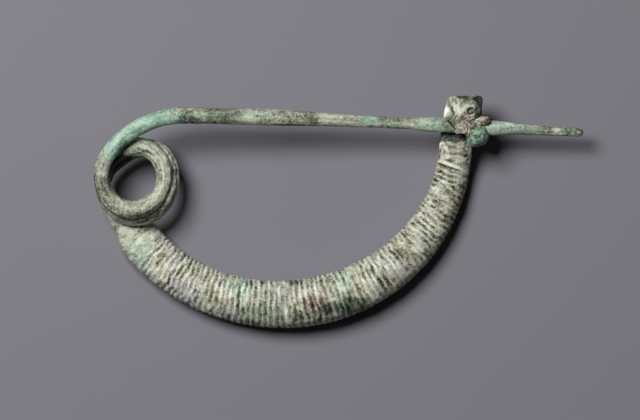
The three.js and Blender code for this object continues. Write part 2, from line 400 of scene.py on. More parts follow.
def bezier(handles: list[Array], count: int) -> tuple[Array, Array]:
    """Places and unit tangents along a cubic curve.

    Args:
        handles: its four control points.
        count: how many places, evenly in the curve's own parameter.

    Returns:
        Rows of places, and rows of tangents.
    """
    t = np.linspace(0, 1, count)[:, None]
    a, b, c, d = handles
    places = (1 - t) ** 3 * a + 3 * (1 - t) ** 2 * t * b + 3 * (1 - t) * t**2 * c + t**3 * d
    slopes = (1 - t) ** 2 * (b - a) + 2 * (1 - t) * t * (c - b) + t**2 * (d - c)
    return places, unit(slopes)


@dataclass
class Spring:
    """Two turns of wire, stacked upwards and leaning towards the pin.

    Attributes:
        x, y: middle of the spring, seen from above.
        turns: full turns between the neck and the pin.
        start_height: height of the wire's middle where the neck ends.
        pitch: how far the wire rises in a turn.
        lean_x, lean_y: how far each turn lies from the one under it.
        radius_x, radius_y: half sizes of the first turn and of the last, to the wire's middle.
        bulges: where the turns are out of round: degrees around, reach in degrees, and amount.
        wire_radius: half thickness of the wire.
        wire_swell: how much its width changes, twice in each turn.
        filled: angles between which crust fills the groove between the first turn and the second.
        filling_radius, filling_end: half thickness of that crust, and at its ends.
        filling_fade: share of its length over which each end thins.
        filling_lumps: how far its lumps stand out.
        filling_cloud: pattern of the lumps.
        filling_rings: sections along the crust.
        ring_gap: about how far apart the sections of the wire are.
    """

    x: float = -33.4
    y: float = 4.98
    turns: int = 2
    start_height: float = 5.0
    pitch: float = 2.6
    lean_x: float = -0.66
    lean_y: float = 1.02
    radius_x: Pair = (5.78, 4.63)
    radius_y: Pair = (5.57, 5.3)
    bulges: tuple[Triple, ...] = ((120, 75, 1.05), (520, 115, 0.37))
    wire_radius: float = 1.39
    wire_swell: float = 0.12
    filled: Pair = (math.radians(70), math.radians(300))
    filling_radius: float = 1.3
    filling_end: float = 0.4
    filling_fade: float = 0.2
    filling_lumps: float = 0.45
    filling_cloud: Cloud = Cloud(1.0, 27.7, 3)
    filling_rings: int = 110
    ring_gap: float = 0.25

    @property
    def end(self) -> float:
        """Angle at which the wire leaves the last turn."""
        return self.turns * TURN

    def place(self, angle: Array) -> Array:
        """Middle of the wire.

        Args:
            angle: angles around the spring, from the neck.

        Returns:
            A row of coordinates for each angle.
        """
        turn = angle / TURN
        bulge = 0.0
        for middle, reach, amount in self.bulges:
            off = np.abs(angle - math.radians(middle))
            bulge = bulge + amount * (1 - smoothstep(off, 0, math.radians(reach)))
        radius_x = bulge + lerp(*self.radius_x, turn / self.turns)
        radius_y = bulge + lerp(*self.radius_y, turn / self.turns)
        x = self.x + self.lean_x * (turn - self.turns / 2) - radius_x * np.cos(angle)
        y = self.y + self.lean_y * (turn - self.turns / 2) + radius_y * np.sin(angle)
        return np.stack([x, y, self.start_height + self.pitch * turn], axis=-1)

    def tangent(self, angle: Array) -> Array:
        """Direction that the wire runs in at angles around the spring."""
        small = 0.01
        return unit(self.place(angle + small) - self.place(angle - small))

    def radius(self, angle: Array) -> Array:
        """Half width of the wire at angles around the spring."""
        return self.wire_radius - self.wire_swell * np.cos(2 * angle)

    def stations(self, start: float, end: float) -> Stations:
        """Sections of the wire.

        Args:
            start: angle around the spring at which they begin.
            end: angle at which they end.

        Returns:
            Sections at even steps of angle.
        """
        steps = round((end - start) * max(self.radius_x) / self.ring_gap)
        angle = np.linspace(start, end, steps + 1)
        height = np.full(len(angle), self.wire_radius)
        return Stations(self.place(angle), self.tangent(angle), self.radius(angle), height)

    def filling(self, sides: int) -> Shell:
        """The lumpy crust that has grown in the groove between the first turn and the second.

        Args:
            sides: points around each ring.

        Returns:
            A bar that thins to both ends.
        """
        angle = np.linspace(*self.filled, self.filling_rings)
        centre = (self.place(angle) + self.place(angle + TURN)) / 2
        share = np.linspace(0, 1, self.filling_rings)
        full = smoothstep(share, 0, self.filling_fade) * (1 - smoothstep(share, 1 - self.filling_fade, 1))
        half = lerp(self.filling_end, self.filling_radius, full)
        stations = Stations(centre, self.tangent(angle), half, half)
        along = np.repeat(stations.distance(), sides)
        girth = [np.tile(wave(around(sides)), self.filling_rings) for wave in (np.cos, np.sin)]
        lumps = self.filling_cloud.at(np.stack([along, *girth], axis=-1)).reshape(-1, sides)
        relief = np.full(lumps.shape, PLAIN_RELIEF)
        return loft(stations, Part.SPRING, sides, self.filling_lumps * lumps, relief)


@dataclass
class Bow:
    """The thick ribbed arch, from the foot that carries the catch to the neck that runs into the spring.

    Shares are shares of the arch's length, from the foot.

    Attributes:
        centre_x, centre_y: middle of the ellipse that the arch follows.
        half_span, rise: half sizes of that ellipse.
        start, end: angles on it of the foot and of the neck.
        radius_at_foot, radius_at_middle, radius_at_spring: half widths.
        roundness: half height for each half width.
        swell, fall: shares over which the arch thickens from the foot and thins to the spring.
        rib_count: ribs, if they ran the whole way.
        ribs_fade_in, ribs_fade_out: shares over which the ribs begin and end.
        rib_depth: depth of the grooves between them.
        rib_unevenness, rib_long_wave, rib_short_wave: how much the depth changes, and how often.
        rib_lean, rib_lean_turns: how far the ribs lean near the foot and the spring, and where that turns.
        rib_wander, rib_jitter: how far a rib strays in broad bends and in small ones, in gaps of the ribs.
        rib_height_worn, rib_height_at_edge: height left where it is worn, and at the arch's edges.
        wandering, jittering, broadening, wearing: patterns of what happens to the ribs.
        broad_where, worn_where: values of the patterns between which ribs broaden, and between which
            they come back to their full height.
        smooth_underneath: sines of the angles between which the ribs rise out of the bearing side.
        foot_share: share over which the bar flattens into the foot.
        foot_half_thickness, foot_lift, foot_squareness: the foot's section, and the height of its middle.
        foot_lines: where two lines are cut along the foot, from -1 to 1 across it.
        foot_line_depth, foot_line_width: their depth, and their width as a share of the half width.
        foot_line_fade: where they run out, in lengths of the foot.
        foot_line_side: sines of the angles between which the lines begin, on the upper side.
        neck_from_bow, neck_to_spring: lengths of the neck's handles.
        neck_fall: how fast the neck thins.
        neck_rings: sections along the neck.
        neck_easing: rings on each side over which the corner into the neck is drawn out.
        neck_relief: relief of the neck, which sets how pale it is.
        plug, plug_taper: angle over which the neck runs on inside the wire, and how much it thins.
        bearing_cut: how far the underside would reach below the ground, where it is cut flat.
        rings_per_rib, sides: fineness of the mesh.
    """

    centre_x: float = -9.67
    centre_y: float = 11.8
    half_span: float = 28.85
    rise: float = 26.9
    start: float = math.radians(-1)
    end: float = math.radians(-146)
    radius_at_foot: float = 2.64
    radius_at_middle: float = 3.97
    radius_at_spring: float = 3.54
    roundness: float = 0.97
    swell: Pair = (-0.05, 0.52)
    fall: Pair = (0.5, 0.95)
    rib_count: int = 80
    ribs_fade_in: Pair = (0.055, 0.075)
    ribs_fade_out: Pair = (0.925, 0.955)
    rib_depth: float = 0.3
    rib_unevenness: float = 0.25
    rib_long_wave: float = 23
    rib_short_wave: float = 61
    rib_lean: Pair = (0.35, -0.2)
    rib_lean_turns: Pair = (0.1, 0.6)
    rib_wander: float = 0.36
    rib_jitter: float = 0.14
    rib_height_worn: float = 0.3
    rib_height_at_edge: float = 0.6
    wandering: Cloud = Cloud((3.4, 2.4, 2.4), 11.3)
    jittering: Cloud = Cloud((0.9, 1.1, 1.1), 17.9)
    broadening: Cloud = Cloud((4.0, 2.5, 2.5), 3.7)
    wearing: Cloud = Cloud((1.4, 1.7, 1.7), 7.9)
    broad_where: Pair = (-0.1, 0.5)
    worn_where: Pair = (-0.5, 0.2)
    smooth_underneath: Pair = (-1, -0.7)
    foot_share: float = 0.07
    foot_half_thickness: float = 0.87
    foot_lift: float = 5.25
    foot_squareness: float = 0.7
    foot_lines: Pair = (-0.88, -0.62)
    foot_line_depth: float = 0.13
    foot_line_width: float = 0.055
    foot_line_fade: Pair = (0.8, 1.3)
    foot_line_side: Pair = (0.0, 0.2)
    neck_from_bow: float = 1.6
    neck_to_spring: float = 2.6
    neck_fall: float = 2.2
    neck_rings: int = 44
    neck_easing: int = 12
    neck_relief: float = 0.62
    plug: float = 0.25
    plug_taper: float = 0.3
    bearing_cut: float = 0.22
    rings_per_rib: int = 7
    sides: int = 96

    def place(self, share: Array, height: Array) -> Array:
        """Middle of the bow.

        Args:
            share: shares of its length.
            height: heights of the middle at those shares.

        Returns:
            A row of coordinates for each share.
        """
        angle = lerp(self.start, self.end, share)
        x = self.centre_x + self.half_span * np.cos(angle)
        y = self.centre_y + self.rise * np.sin(angle)
        return np.stack([x, y, height], axis=-1)

    def tangent(self, share: Array) -> Array:
        """Direction from the foot to the spring.

        Args:
            share: shares of the bow's length.

        Returns:
            A unit vector for each share.
        """
        angle = lerp(self.start, self.end, share)
        slopes = [self.half_span * np.sin(angle), -self.rise * np.cos(angle), np.zeros_like(angle)]
        return unit(np.stack(slopes, axis=-1))

    def radius(self, share: Array) -> Array:
        """Half width at shares of its length."""
        middle = lerp(self.radius_at_foot, self.radius_at_middle, smoothstep(share, *self.swell))
        return middle - (self.radius_at_middle - self.radius_at_spring) * smoothstep(share, *self.fall)

    def ribbed(self, share: Array) -> Array:
        """How fully the bow is ribbed at shares of its length, from 0 to 1."""
        return smoothstep(share, *self.ribs_fade_in) * (1 - smoothstep(share, *self.ribs_fade_out))

    def stations(self) -> Stations:
        """Sections of the bow itself.

        Returns:
            Sections at even shares, flat at the foot and nearly round past it.
        """
        share = np.linspace(0, 1, self.rib_count * self.rings_per_rib + 1)
        flat = 1 - smoothstep(share, 0, self.foot_share)
        radius = self.radius(share)
        half_height = lerp(radius * self.roundness, self.foot_half_thickness, flat)
        height = lerp(radius * self.roundness - self.bearing_cut, self.foot_lift, flat)
        lean = self.ribbed(share) * lerp(*self.rib_lean, smoothstep(share, *self.rib_lean_turns))
        squareness = lerp(1, self.foot_squareness, flat)
        return Stations(self.place(share, height), self.tangent(share), radius, half_height, squareness, lean)

    def neck(self, spring: Spring, bow_end: Stations) -> Stations:
        """Sections of the taper into the spring, and of a short plug that the wire closes over.

        Args:
            spring: the spring that it runs into.
            bow_end: sections of the bow, of which the last one begins the neck.

        Returns:
            Sections of the taper and then of the plug.
        """
        zero = np.array(0.0)
        first, last = bow_end.centre[-1], spring.place(zero)
        handles = [first, first + self.tangent(np.array(1.0)) * self.neck_from_bow]
        handles += [last - spring.tangent(zero) * self.neck_to_spring, last]
        places, tangents = bezier(handles, self.neck_rings)
        rest = (1 - np.linspace(0, 1, self.neck_rings)) ** self.neck_fall
        half_width = lerp(spring.radius(zero), bow_end.half_width[-1], rest)
        half_height = lerp(spring.wire_radius, bow_end.half_height[-1], rest)
        taper = Stations(places, tangents, half_width, half_height)
        plug = spring.stations(0.0, self.plug)
        thinner = 1 - self.plug_taper * np.linspace(0, 1, len(plug.centre))
        plug.half_width = plug.half_width * thinner
        plug.half_height = plug.half_height * thinner
        return taper.then(plug)

    def ribs(self, distance: Array, share: Array) -> tuple[Array, Array]:
        """Filed ribs, which wander, fork and wear away in places.

        Args:
            distance: millimetres from the foot, for each ring.
            share: shares of the bow's length, for each ring.

        Returns:
            How far each point stands off the section, and how much it is a crest, from 0 to 1.
        """
        angle = around(self.sides)
        shape = (len(share), self.sides)
        radius = self.radius(share)[:, None]
        girth = [(radius * np.cos(angle)).ravel(), (radius * np.sin(angle)).ravel()]
        places = np.stack([np.repeat(distance, self.sides), *girth], axis=-1)
        wander = self.rib_wander * self.wandering.at(places).reshape(shape)
        jitter = self.rib_jitter * self.jittering.at(places).reshape(shape)
        phase = share[:, None] * self.rib_count + wander + jitter
        wide = 0.5 + 0.5 * np.cos(TURN * phase)
        broadness = smoothstep(self.broadening.at(places), *self.broad_where).reshape(shape)
        crest = lerp(crests(phase), wide, broadness)
        wave = np.sin(share * self.rib_short_wave) * np.sin(share * self.rib_long_wave + 1)
        whole = smoothstep(self.wearing.at(places), *self.worn_where).reshape(shape)
        strength = self.ribbed(share)[:, None] * (1 + self.rib_unevenness * (wave[:, None] - 1))
        strength = strength * lerp(self.rib_height_worn, 1.0, whole)
        above = smoothstep(np.sin(angle), *self.smooth_underneath)[None, :]
        edge = lerp(1.0, self.rib_height_at_edge, np.abs(np.cos(angle))[None, :] ** 6)
        offset = -self.rib_depth * strength * above * edge * (1 - crest)
        return offset, lerp(MIDDLE_RELIEF, crest, strength)

    def foot_marks(self, share: Array) -> Array:
        """The lines cut along the inner edge of the foot, which run out towards the ribs.

        Args:
            share: shares of the bow's length, for each ring.

        Returns:
            How far each point stands off the section, below 0 in the lines.
        """
        angle = around(self.sides)
        beside = cornered(np.cos(angle), self.foot_squareness)
        upper = smoothstep(np.sin(angle), *self.foot_line_side)
        fade = 1 - smoothstep(share, *[length * self.foot_share for length in self.foot_line_fade])
        lines = sum(np.exp(-(((beside - line) / self.foot_line_width) ** 2)) for line in self.foot_lines)
        return -self.foot_line_depth * fade[:, None] * (lines * upper)[None, :]

    def eased(self, whole: Stations, join: int) -> Stations:
        """Draw a corner out over the rings beside it.

        Args:
            whole: sections with a corner in them, which are changed.
            join: the ring at the corner.

        Returns:
            The same sections, with an even curve through the corner.
        """
        reach = self.neck_easing
        near = slice(join - reach, join + reach + 1)
        share = np.linspace(0, 1, 2 * reach + 1)
        for name in ("centre", "tangent", "across", "half_width", "half_height"):
            values = getattr(whole, name)
            first, last = values[join - reach], values[join + reach]
            before = (values[join - reach] - values[join - reach - 1]) * 2 * reach
            after = (values[join + reach + 1] - values[join + reach]) * 2 * reach
            t = share if values.ndim == 1 else share[:, None]
            rise, fall = t * (1 - t) ** 2, t * t * (t - 1)
            values[near] = lerp(first, last, t * t * (3 - 2 * t)) + before * rise + after * fall
        whole.tangent = unit(whole.tangent)
        whole.across = unit(whole.across)
        return whole

    def build(self, spring: Spring) -> Shell:
        """The bow and its neck.

        Args:
            spring: the spring that the neck runs into.

        Returns:
            One bar, from the foot to the plug inside the wire.
        """
        bow = self.stations()
        whole = self.eased(bow.then(self.neck(spring, bow)), len(bow.centre) - 1)
        share = np.linspace(0, 1, len(bow.centre))
        offset, relief = self.ribs(bow.distance(), share)
        offset = offset + self.foot_marks(share)
        rest = (len(whole.centre) - len(bow.centre), self.sides)
        offset = np.vstack([offset, np.zeros(rest)])
        relief = np.vstack([relief, np.full(rest, self.neck_relief)])
        return loft(whole, Part.BOW, self.sides, offset, relief)


@dataclass
class Pin:
    """The pin: a quarter bend off the spring, then a long shank that thins to the tip.

    Attributes:
        bend: where the bend ends and the shank begins.
        bend_from_spring, bend_to_shank: lengths of the bend's handles.
        tip: the very end.
        last_stretch: a place on the shank, which with the tip gives the way that it points there.
        shank_handle_start, shank_handle_tip: lengths of the shank's handles.
        radius, radius_worn, radius_tip: half thicknesses.
        wear, taper: distances across the brooch over which it thins to the worn size and to the tip.
        crust: how much the crust at the catch thickens it.
        crust_x, crust_full, crust_reach: middle of that crust, and how far it is full and where it ends.
        tip_rounding: angle through which the tip is rounded.
        bend_rings, shank_rings, tip_rings: sections along each stretch.
    """

    bend: Triple = (-25.25, 15.74, 10.7)
    bend_from_spring: float = 4.5
    bend_to_shank: float = 7.05
    tip: Triple = (40.0, 13.03, 6.0)
    last_stretch: Triple = (14.9, 14.34, 7.81)
    shank_handle_start: float = 15.6
    shank_handle_tip: float = 25.1
    radius: float = 1.32
    radius_worn: float = 0.97
    radius_tip: float = 0.7
    wear: Pair = (-12, 6)
    taper: Pair = (24, 40)
    crust: float = 0.24
    crust_x: float = 20.5
    crust_full: float = 5.1
    crust_reach: float = 8.5
    tip_rounding: float = 0.48 * math.pi
    bend_rings: int = 56
    shank_rings: int = 270
    tip_rings: int = 7

    def stations(self, spring: Spring) -> Stations:
        """Sections from the end of the spring to the tip.

        Args:
            spring: the spring that the pin comes off.

        Returns:
            Sections of the bend, the shank and the rounded tip.
        """
        bend, tip = np.array(self.bend), np.array(self.tip)
        slope = unit(np.array([tip[0] - bend[0], 0.0, tip[2] - bend[2]]))
        tip_slope = unit(tip - np.array(self.last_stretch))
        shank_end = tip - tip_slope * self.radius_tip
        spring_end = np.array(spring.end)
        leaves = spring.place(spring_end)
        leaving = spring.tangent(spring_end)
        handles = [leaves, leaves + leaving * self.bend_from_spring, bend - slope * self.bend_to_shank, bend]
        places, tangents = bezier(handles, self.bend_rings)
        half = lerp(spring.radius(spring_end), self.radius, np.linspace(0, 1, self.bend_rings))
        quarter = Stations(places, tangents, half, half)

        handles = [bend, bend + slope * self.shank_handle_start]
        handles += [shank_end - tip_slope * self.shank_handle_tip, shank_end]
        places, tangents = bezier(handles, self.shank_rings)
        half = self.shank_radius(places[:, 0])
        shank = Stations(places, tangents, half, half)

        turned = np.linspace(0, self.tip_rounding, self.tip_rings)
        places = tip + tip_slope * (self.radius_tip * (np.sin(turned) - 1))[:, None]
        half = self.radius_tip * np.cos(turned)
        point = Stations(places, np.tile(tip_slope, (self.tip_rings, 1)), half, half)
        return quarter.then(shank).then(point)

    def shank_radius(self, x: Array) -> Array:
        """Half thickness of the shank, thinner where it is worn and thicker in its crust.

        Args:
            x: distances across the brooch, below 0 towards the spring.

        Returns:
            A half thickness for each distance.
        """
        worn = lerp(self.radius, self.radius_worn, smoothstep(x, *self.wear))
        tapered = lerp(worn, self.radius_tip, smoothstep(x, *self.taper))
        off = np.abs(x - self.crust_x)
        return tapered + self.crust * (1 - smoothstep(off, self.crust_full, self.crust_reach))


@dataclass
class Wire:
    """The spring and the pin as one drawn wire, parted where its turns would meet each other.

    Attributes:
        spring, pin: its two stretches.
        joins: angles around the spring at which it is parted.
        lead_in: rings between which the wire swells to its full size; the first lies before its start.
        sides: points around each ring.
    """

    spring: Spring
    pin: Pin
    joins: Pair = (math.pi, 2.9 * math.pi)
    lead_in: Pair = (-6.0, 8.0)
    sides: int = 36

    def build(self) -> list[Shell]:
        """The wire and the crust in its groove.

        Returns:
            Three bars that meet face to face, and one that fills the groove between the turns.
        """
        first, second = self.joins
        to_first = self.spring.stations(0.0, first)
        to_second = self.spring.stations(first, second)
        turns = to_first.then(to_second).then(self.spring.stations(second, self.spring.end))
        whole = turns.then(self.pin.stations(self.spring))
        swelling = smoothstep(np.arange(len(whole.centre)), *self.lead_in)
        whole.half_width = whole.half_width * swelling
        whole.half_height = whole.half_height * swelling
        at_first = len(to_first.centre) - 1
        at_second = at_first + len(to_second.centre) - 1
        cuts = [(0, at_first), (at_first, at_second), (at_second, len(whole.centre) - 1)]
        bars = [self.bar(whole, a, b, len(turns.centre)) for a, b in cuts]
        return [*bars, self.spring.filling(self.sides)]

    def bar(self, whole: Stations, first: int, last: int, pin_from: int) -> Shell:
        """One bar of the wire, between two of its rings.

        Args:
            whole: sections of the whole wire.
            first: the ring that it begins on.
            last: the ring that it ends on.
            pin_from: the first ring of the pin.

        Returns:
            The bar, with its points past the spring marked as the pin's.
        """
        part = whole.rings(first, last + 1)
        flat = np.zeros((len(part.centre), self.sides))
        shell = loft(part, Part.SPRING, self.sides, flat, flat + PLAIN_RELIEF, whole.distance()[first])
        ring = first + np.append(np.repeat(np.arange(len(part.centre)), self.sides), [0, len(part.centre)])
        shell.marks[Mark.PART][ring >= pin_from] = Part.PIN.value
        return shell


@dataclass
class Catch:
    """A strip that rises behind the pin, rolls over above it and comes down in front, its edge broken.

    Attributes:
        start_y: where the strip begins, in the foot.
        thickness: thickness of the strip.
        back_height: height of its middle behind the pin.
        roll_y, roll_radius: where it rolls over, and how tightly.
        flap_y: where the flap ends.
        squareness: power of the section's corners.
        edges: share of the strip's length, and where its left and its right edge are there.
        raggedness, raggedness_inside: how rough the broken edge is, and which share of that the face has.
        roughening: pattern of that.
        ridge_gap, ridge_depth: gap between the ridges on the flap, and depth of what lies between them.
        ridge_slant, ridge_wander: how far a ridge runs aside in its length, and how far it strays, in gaps.
        ridge_bends: pattern of how it strays.
        ridges_from: shares of the roll between which the ridges begin.
        ridges_face: sines of the angles between which they begin, on the outer face.
        sunk, sunk_length: how deep the strip's start lies in the foot, and over what length it comes out.
        rings, sides: fineness of the mesh.
    """

    start_y: float = 9.6
    thickness: float = 1.3
    back_height: float = 5.5
    roll_y: float = 16.56
    roll_radius: float = 1.91
    flap_y: float = 12.85
    squareness: float = 0.5
    edges: tuple[Triple, ...] = (
        (0, 17.2, 20.6),
        (0.14, 16.6, 22.0),
        (0.24, 16.65, 22.9),
        (0.42, 17.3, 23.4),
        (0.6, 18.05, 23.4),
        (0.74, 18.0, 23.35),
        (0.8, 17.6, 23.1),
        (0.84, 17.35, 22.7),
        (0.88, 17.6, 21.3),
        (0.93, 18.5, 21.2),
        (1, 19.1, 21.0),
    )
    raggedness: float = 0.16
    raggedness_inside: float = 0.25
    roughening: Cloud = Cloud(1.1, 5.1, 3)
    ridge_gap: float = 0.8
    ridge_depth: float = 0.11
    ridge_slant: float = 0.25
    ridge_wander: float = 0.9
    ridge_bends: Cloud = Cloud((1.3, 1.0, 1.0), 23.9)
    ridges_from: Pair = (0.55, 0.8)
    ridges_face: Pair = (0.0, 0.3)
    sunk: float = 1.1
    sunk_length: float = 1.6
    rings: int = 130
    sides: int = 84

    @property
    def back(self) -> float:
        """Length of the strip behind the pin."""
        return self.roll_y - self.start_y

    @property
    def roll(self) -> float:
        """Length of the strip that is rolled over the pin."""
        return math.pi * self.roll_radius

    def distance(self) -> Array:
        """How far along its course each ring is."""
        return np.linspace(0, 1, self.rings) * (self.back + self.roll + self.roll_y - self.flap_y)

    def stations(self) -> Stations:
        """Sections of the strip.

        Returns:
            Sections up the back, over the roll and down the flap.
        """
        distance = self.distance()
        turned = math.pi * np.clip((distance - self.back) / self.roll, 0, 1)
        straight = np.minimum(0, distance - self.back) - np.maximum(0, distance - self.back - self.roll)
        y = self.roll_y + straight + self.roll_radius * np.sin(turned)
        height = self.back_height + self.roll_radius * (1 - np.cos(turned))
        height = height - self.sunk * (1 - smoothstep(distance, 0, self.sunk_length))
        shares, *sides = np.array(self.edges).T
        left, right = [np.interp(np.linspace(0, 1, self.rings), shares, side) for side in sides]
        flat = np.zeros(self.rings)
        return Stations(
            centre=np.stack([(left + right) / 2, y, height], axis=-1),
            tangent=np.stack([flat, np.cos(turned), np.sin(turned)], axis=-1),
            half_width=(right - left) / 2,
            half_height=flat + self.thickness / 2,
            squareness=flat + self.squareness,
            lean=flat,
            across=np.tile(-ALONG_X, (self.rings, 1)),
        )

    def build(self) -> Shell:
        """The strip, laid along its course.

        Returns:
            A bar with broken edges, and with ridges on the flap.
        """
        distance, stations, angle = self.distance(), self.stations(), around(self.sides)
        beside = np.tile(np.cos(angle) * 2, self.rings)
        places = np.stack([np.repeat(distance, self.sides), beside, 0 * beside], axis=-1)
        rough = self.roughening.at(places).reshape(self.rings, self.sides)
        edge = np.abs(np.cos(angle))[None, :] ** 4
        crest = self.ridges(stations.half_width)
        front_from, front_full = [self.back + share * self.roll for share in self.ridges_from]
        front = smoothstep(distance, front_from, front_full)[:, None]
        outer = smoothstep(-np.sin(angle), *self.ridges_face)[None, :]
        offset = self.raggedness * rough * lerp(self.raggedness_inside, 1.0, edge)
        offset = offset - self.ridge_depth * front * outer * (1 - crest)
        return loft(stations, Part.CATCH, self.sides, offset, lerp(PLAIN_RELIEF, crest, front * outer))

    def ridges(self, half_width: Array) -> Array:
        """Wavy ridges that run along the strip, as crusts that follow the flow of the hammered metal.

        Args:
            half_width: half of the strip's width at each ring.

        Returns:
            How much each point is a crest, from 0 to 1.
        """
        beside = half_width[:, None] * cornered(np.cos(around(self.sides)), self.squareness)
        along = np.repeat(self.distance(), self.sides).reshape(beside.shape)
        places = np.stack([along.ravel(), beside.ravel(), 0 * beside.ravel()], axis=-1)
        wander = self.ridge_wander * self.ridge_bends.at(places).reshape(beside.shape)
        return crests((beside + self.ridge_slant * along) / self.ridge_gap + wander)


@dataclass
class Lump:
    """A crusty ball of corrosion, drawn out to three half sizes.

    Attributes:
        part: the stretch that its points count as.
        centre: its middle.
        half_size: half sizes.
        unevenness: how far it bulges, as a share of its size.
        subdivisions: fineness of the mesh.
    """

    part: Part
    centre: Triple
    half_size: Triple
    unevenness: float
    subdivisions: int = 5

    def build(self) -> Shell:
        """The lump.

        Returns:
            A closed ball, with the same broad bumps as the solid has.
        """
        bpy.ops.mesh.primitive_ico_sphere_add(subdivisions=self.subdivisions, radius=1)
        ball = bpy.context.object
        points = np.array([v.co for v in ball.data.vertices])
        faces = [tuple(f.vertices) for f in ball.data.polygons]
        bpy.data.objects.remove(ball)
        x, y, z = points.T
        bump = np.sin(3 * x + 1) * np.cos(3 * y) + np.sin(4 * z + 2 * y) / 2
        skin = points * (1 + self.unevenness * bump)[:, None] * np.array(self.half_size)
        marks = {
            Mark.KNOWN: np.ones(len(points)),
            Mark.PART: np.full(len(points), float(self.part.value)),
            Mark.ALONG: 3 * x,
            Mark.SIDE: y,
            Mark.TOP: z,
            Mark.RELIEF: np.full(len(points), PLAIN_RELIEF),
        }
        return Shell(skin + np.array(self.centre), faces, marks)


@dataclass(frozen=True)
class Stain:
    """A patch of one tint: most are stains of the patina, some are painted shade, and one is a painted
    highlight.

    Attributes:
        tint: what it adds.
        x, y: its middle, seen from above.
        reach_x, reach_y: half sizes.
        amount: how strong it is, or how far it lifts or lowers the tone.
        parts: the stretches that it lies on.
        below: it lies only on points lower than this.
        turned: degrees that its sizes are turned by, anticlockwise from above.
    """

    tint: Tint
    x: float
    y: float
    reach_x: float
    reach_y: float
    amount: float
    parts: tuple[Part, ...]
    below: float = math.inf
    turned: float = 0.0

    def cover(self, points: Array, parts: Array, ragged: Array) -> Array:
        """How strongly it covers each point.

        Args:
            points: the points.
            parts: number of the stretch that each one is on.
            ragged: noise that makes the stain's edge ragged.

        Returns:
            An amount for each point, 0 outside the stain.
        """
        cosine, sine = math.cos(math.radians(self.turned)), math.sin(math.radians(self.turned))
        x, y = points[:, 0] - self.x, points[:, 1] - self.y
        off = np.hypot((x * cosine + y * sine) / self.reach_x, (y * cosine - x * sine) / self.reach_y)
        cover = self.amount * (1 - smoothstep(off + STAIN_RAGGEDNESS * ragged, *STAIN_EDGE))
        return cover * (points[:, 2] < self.below) * np.isin(parts, [part.value for part in self.parts])


ON_PIN = (Part.PIN,)
ON_SPRING = (Part.SPRING,)
ON_BOW = (Part.BOW,)
ON_FOOT = (Part.BOW, Part.CATCH)
ON_CATCH = (Part.CATCH,)
ON_KNOB = (Part.KNOB,)
ON_LUMP = (Part.LUMP,)

# Bright green on the bend, olive and buff along the shank, green again each side of the catch, and a painted
# highlight on the shank past the catch
PIN_STAINS = (
    Stain(Tint.VERDIGRIS, -29.5, 14.5, 4.6, 3.2, 0.95, ON_PIN),
    Stain(Tint.VERDIGRIS, -35.8, 11.4, 4.8, 4.0, 0.9, ON_PIN),
    Stain(Tint.TONE, -35.2, 13.0, 4.5, 2.6, 0.08, ON_PIN),
    Stain(Tint.TONE, -34.6, 10.4, 2.2, 1.3, -0.3, ON_PIN),
    Stain(Tint.TONE, -25.0, 14.9, 2.2, 0.7, -0.2, ON_PIN),
    Stain(Tint.TONE, -20.5, 15.5, 5.5, 3.0, -0.15, ON_PIN),
    Stain(Tint.MALACHITE, -20.5, 15.5, 5.0, 3.0, 0.35, ON_PIN),
    Stain(Tint.TONE, -5.2, 15.2, 4.6, 2.0, -0.17, ON_PIN),
    Stain(Tint.TONE, -2.6, 15.4, 1.3, 2.0, 0.22, ON_PIN),
    Stain(Tint.VERDIGRIS, 5.2, 15.2, 1.5, 2.0, 0.9, ON_PIN),
    Stain(Tint.TONE, 9.4, 14.8, 3.6, 2.0, -0.1, ON_PIN),
    Stain(Tint.VERDIGRIS, 14.6, 14.6, 2.8, 2.0, 0.55, ON_PIN),
    Stain(Tint.MALACHITE, 18.0, 14.2, 1.5, 1.8, 0.5, ON_PIN),
    Stain(Tint.VERDIGRIS, 18.0, 14.2, 1.5, 1.8, -0.35, ON_PIN),
    Stain(Tint.VERDIGRIS, 27.3, 13.6, 3.0, 2.0, 0.6, ON_PIN),
    # Painted highlight: a pale spot on the shank's upper edge, the side towards the light
    Stain(Tint.TONE, 27.8, 14.45, 0.9, 0.4, 0.5, ON_PIN),
    Stain(Tint.MALACHITE, 33.4, 13.3, 4.6, 2.0, 0.3, ON_PIN),
    Stain(Tint.VERDIGRIS, 31.0, 13.4, 2.4, 2.0, 0.25, ON_PIN),
    Stain(Tint.TONE, 35.7, 13.4, 0.6, 0.5, 0.35, ON_PIN),
    Stain(Tint.TONE, 38.3, 13.1, 2.8, 2.0, -0.2, ON_PIN),
)
# Pale buff on the right of the coil, brown and olive on its left, and painted shade, dark green, on the lower
# turn that shows inside the coil under the bend
SPRING_STAINS = (
    Stain(Tint.VERDIGRIS, -33.5, 9.4, 6.0, 2.6, 0.14, ON_SPRING),
    Stain(Tint.TONE, -28.2, 5.0, 3.2, 6.0, 0.1, ON_SPRING),
    Stain(Tint.TONE, -38.4, 4.0, 2.3, 5.0, -0.07, ON_SPRING),
    Stain(Tint.TONE, -34.5, -0.8, 7.0, 2.6, -0.13, ON_SPRING),
    # Painted shade: the lower turn inside the coil, shaded by the turns above it, drawn dark green
    Stain(Tint.TONE, -36.0, 7.4, 2.2, 2.6, -0.6, ON_SPRING, below=9.3),
    Stain(Tint.MALACHITE, -36.0, 7.4, 2.2, 2.6, 0.8, ON_SPRING, below=9.3),
    Stain(Tint.MALACHITE, -38.6, 4.6, 2.2, 4.2, 0.25, ON_SPRING),
    Stain(Tint.CUPRITE, -38.4, 6.0, 2.2, 3.0, 0.35, ON_SPRING),
    Stain(Tint.CUPRITE, -31.0, -1.5, 5.0, 2.2, 0.3, ON_SPRING),
)
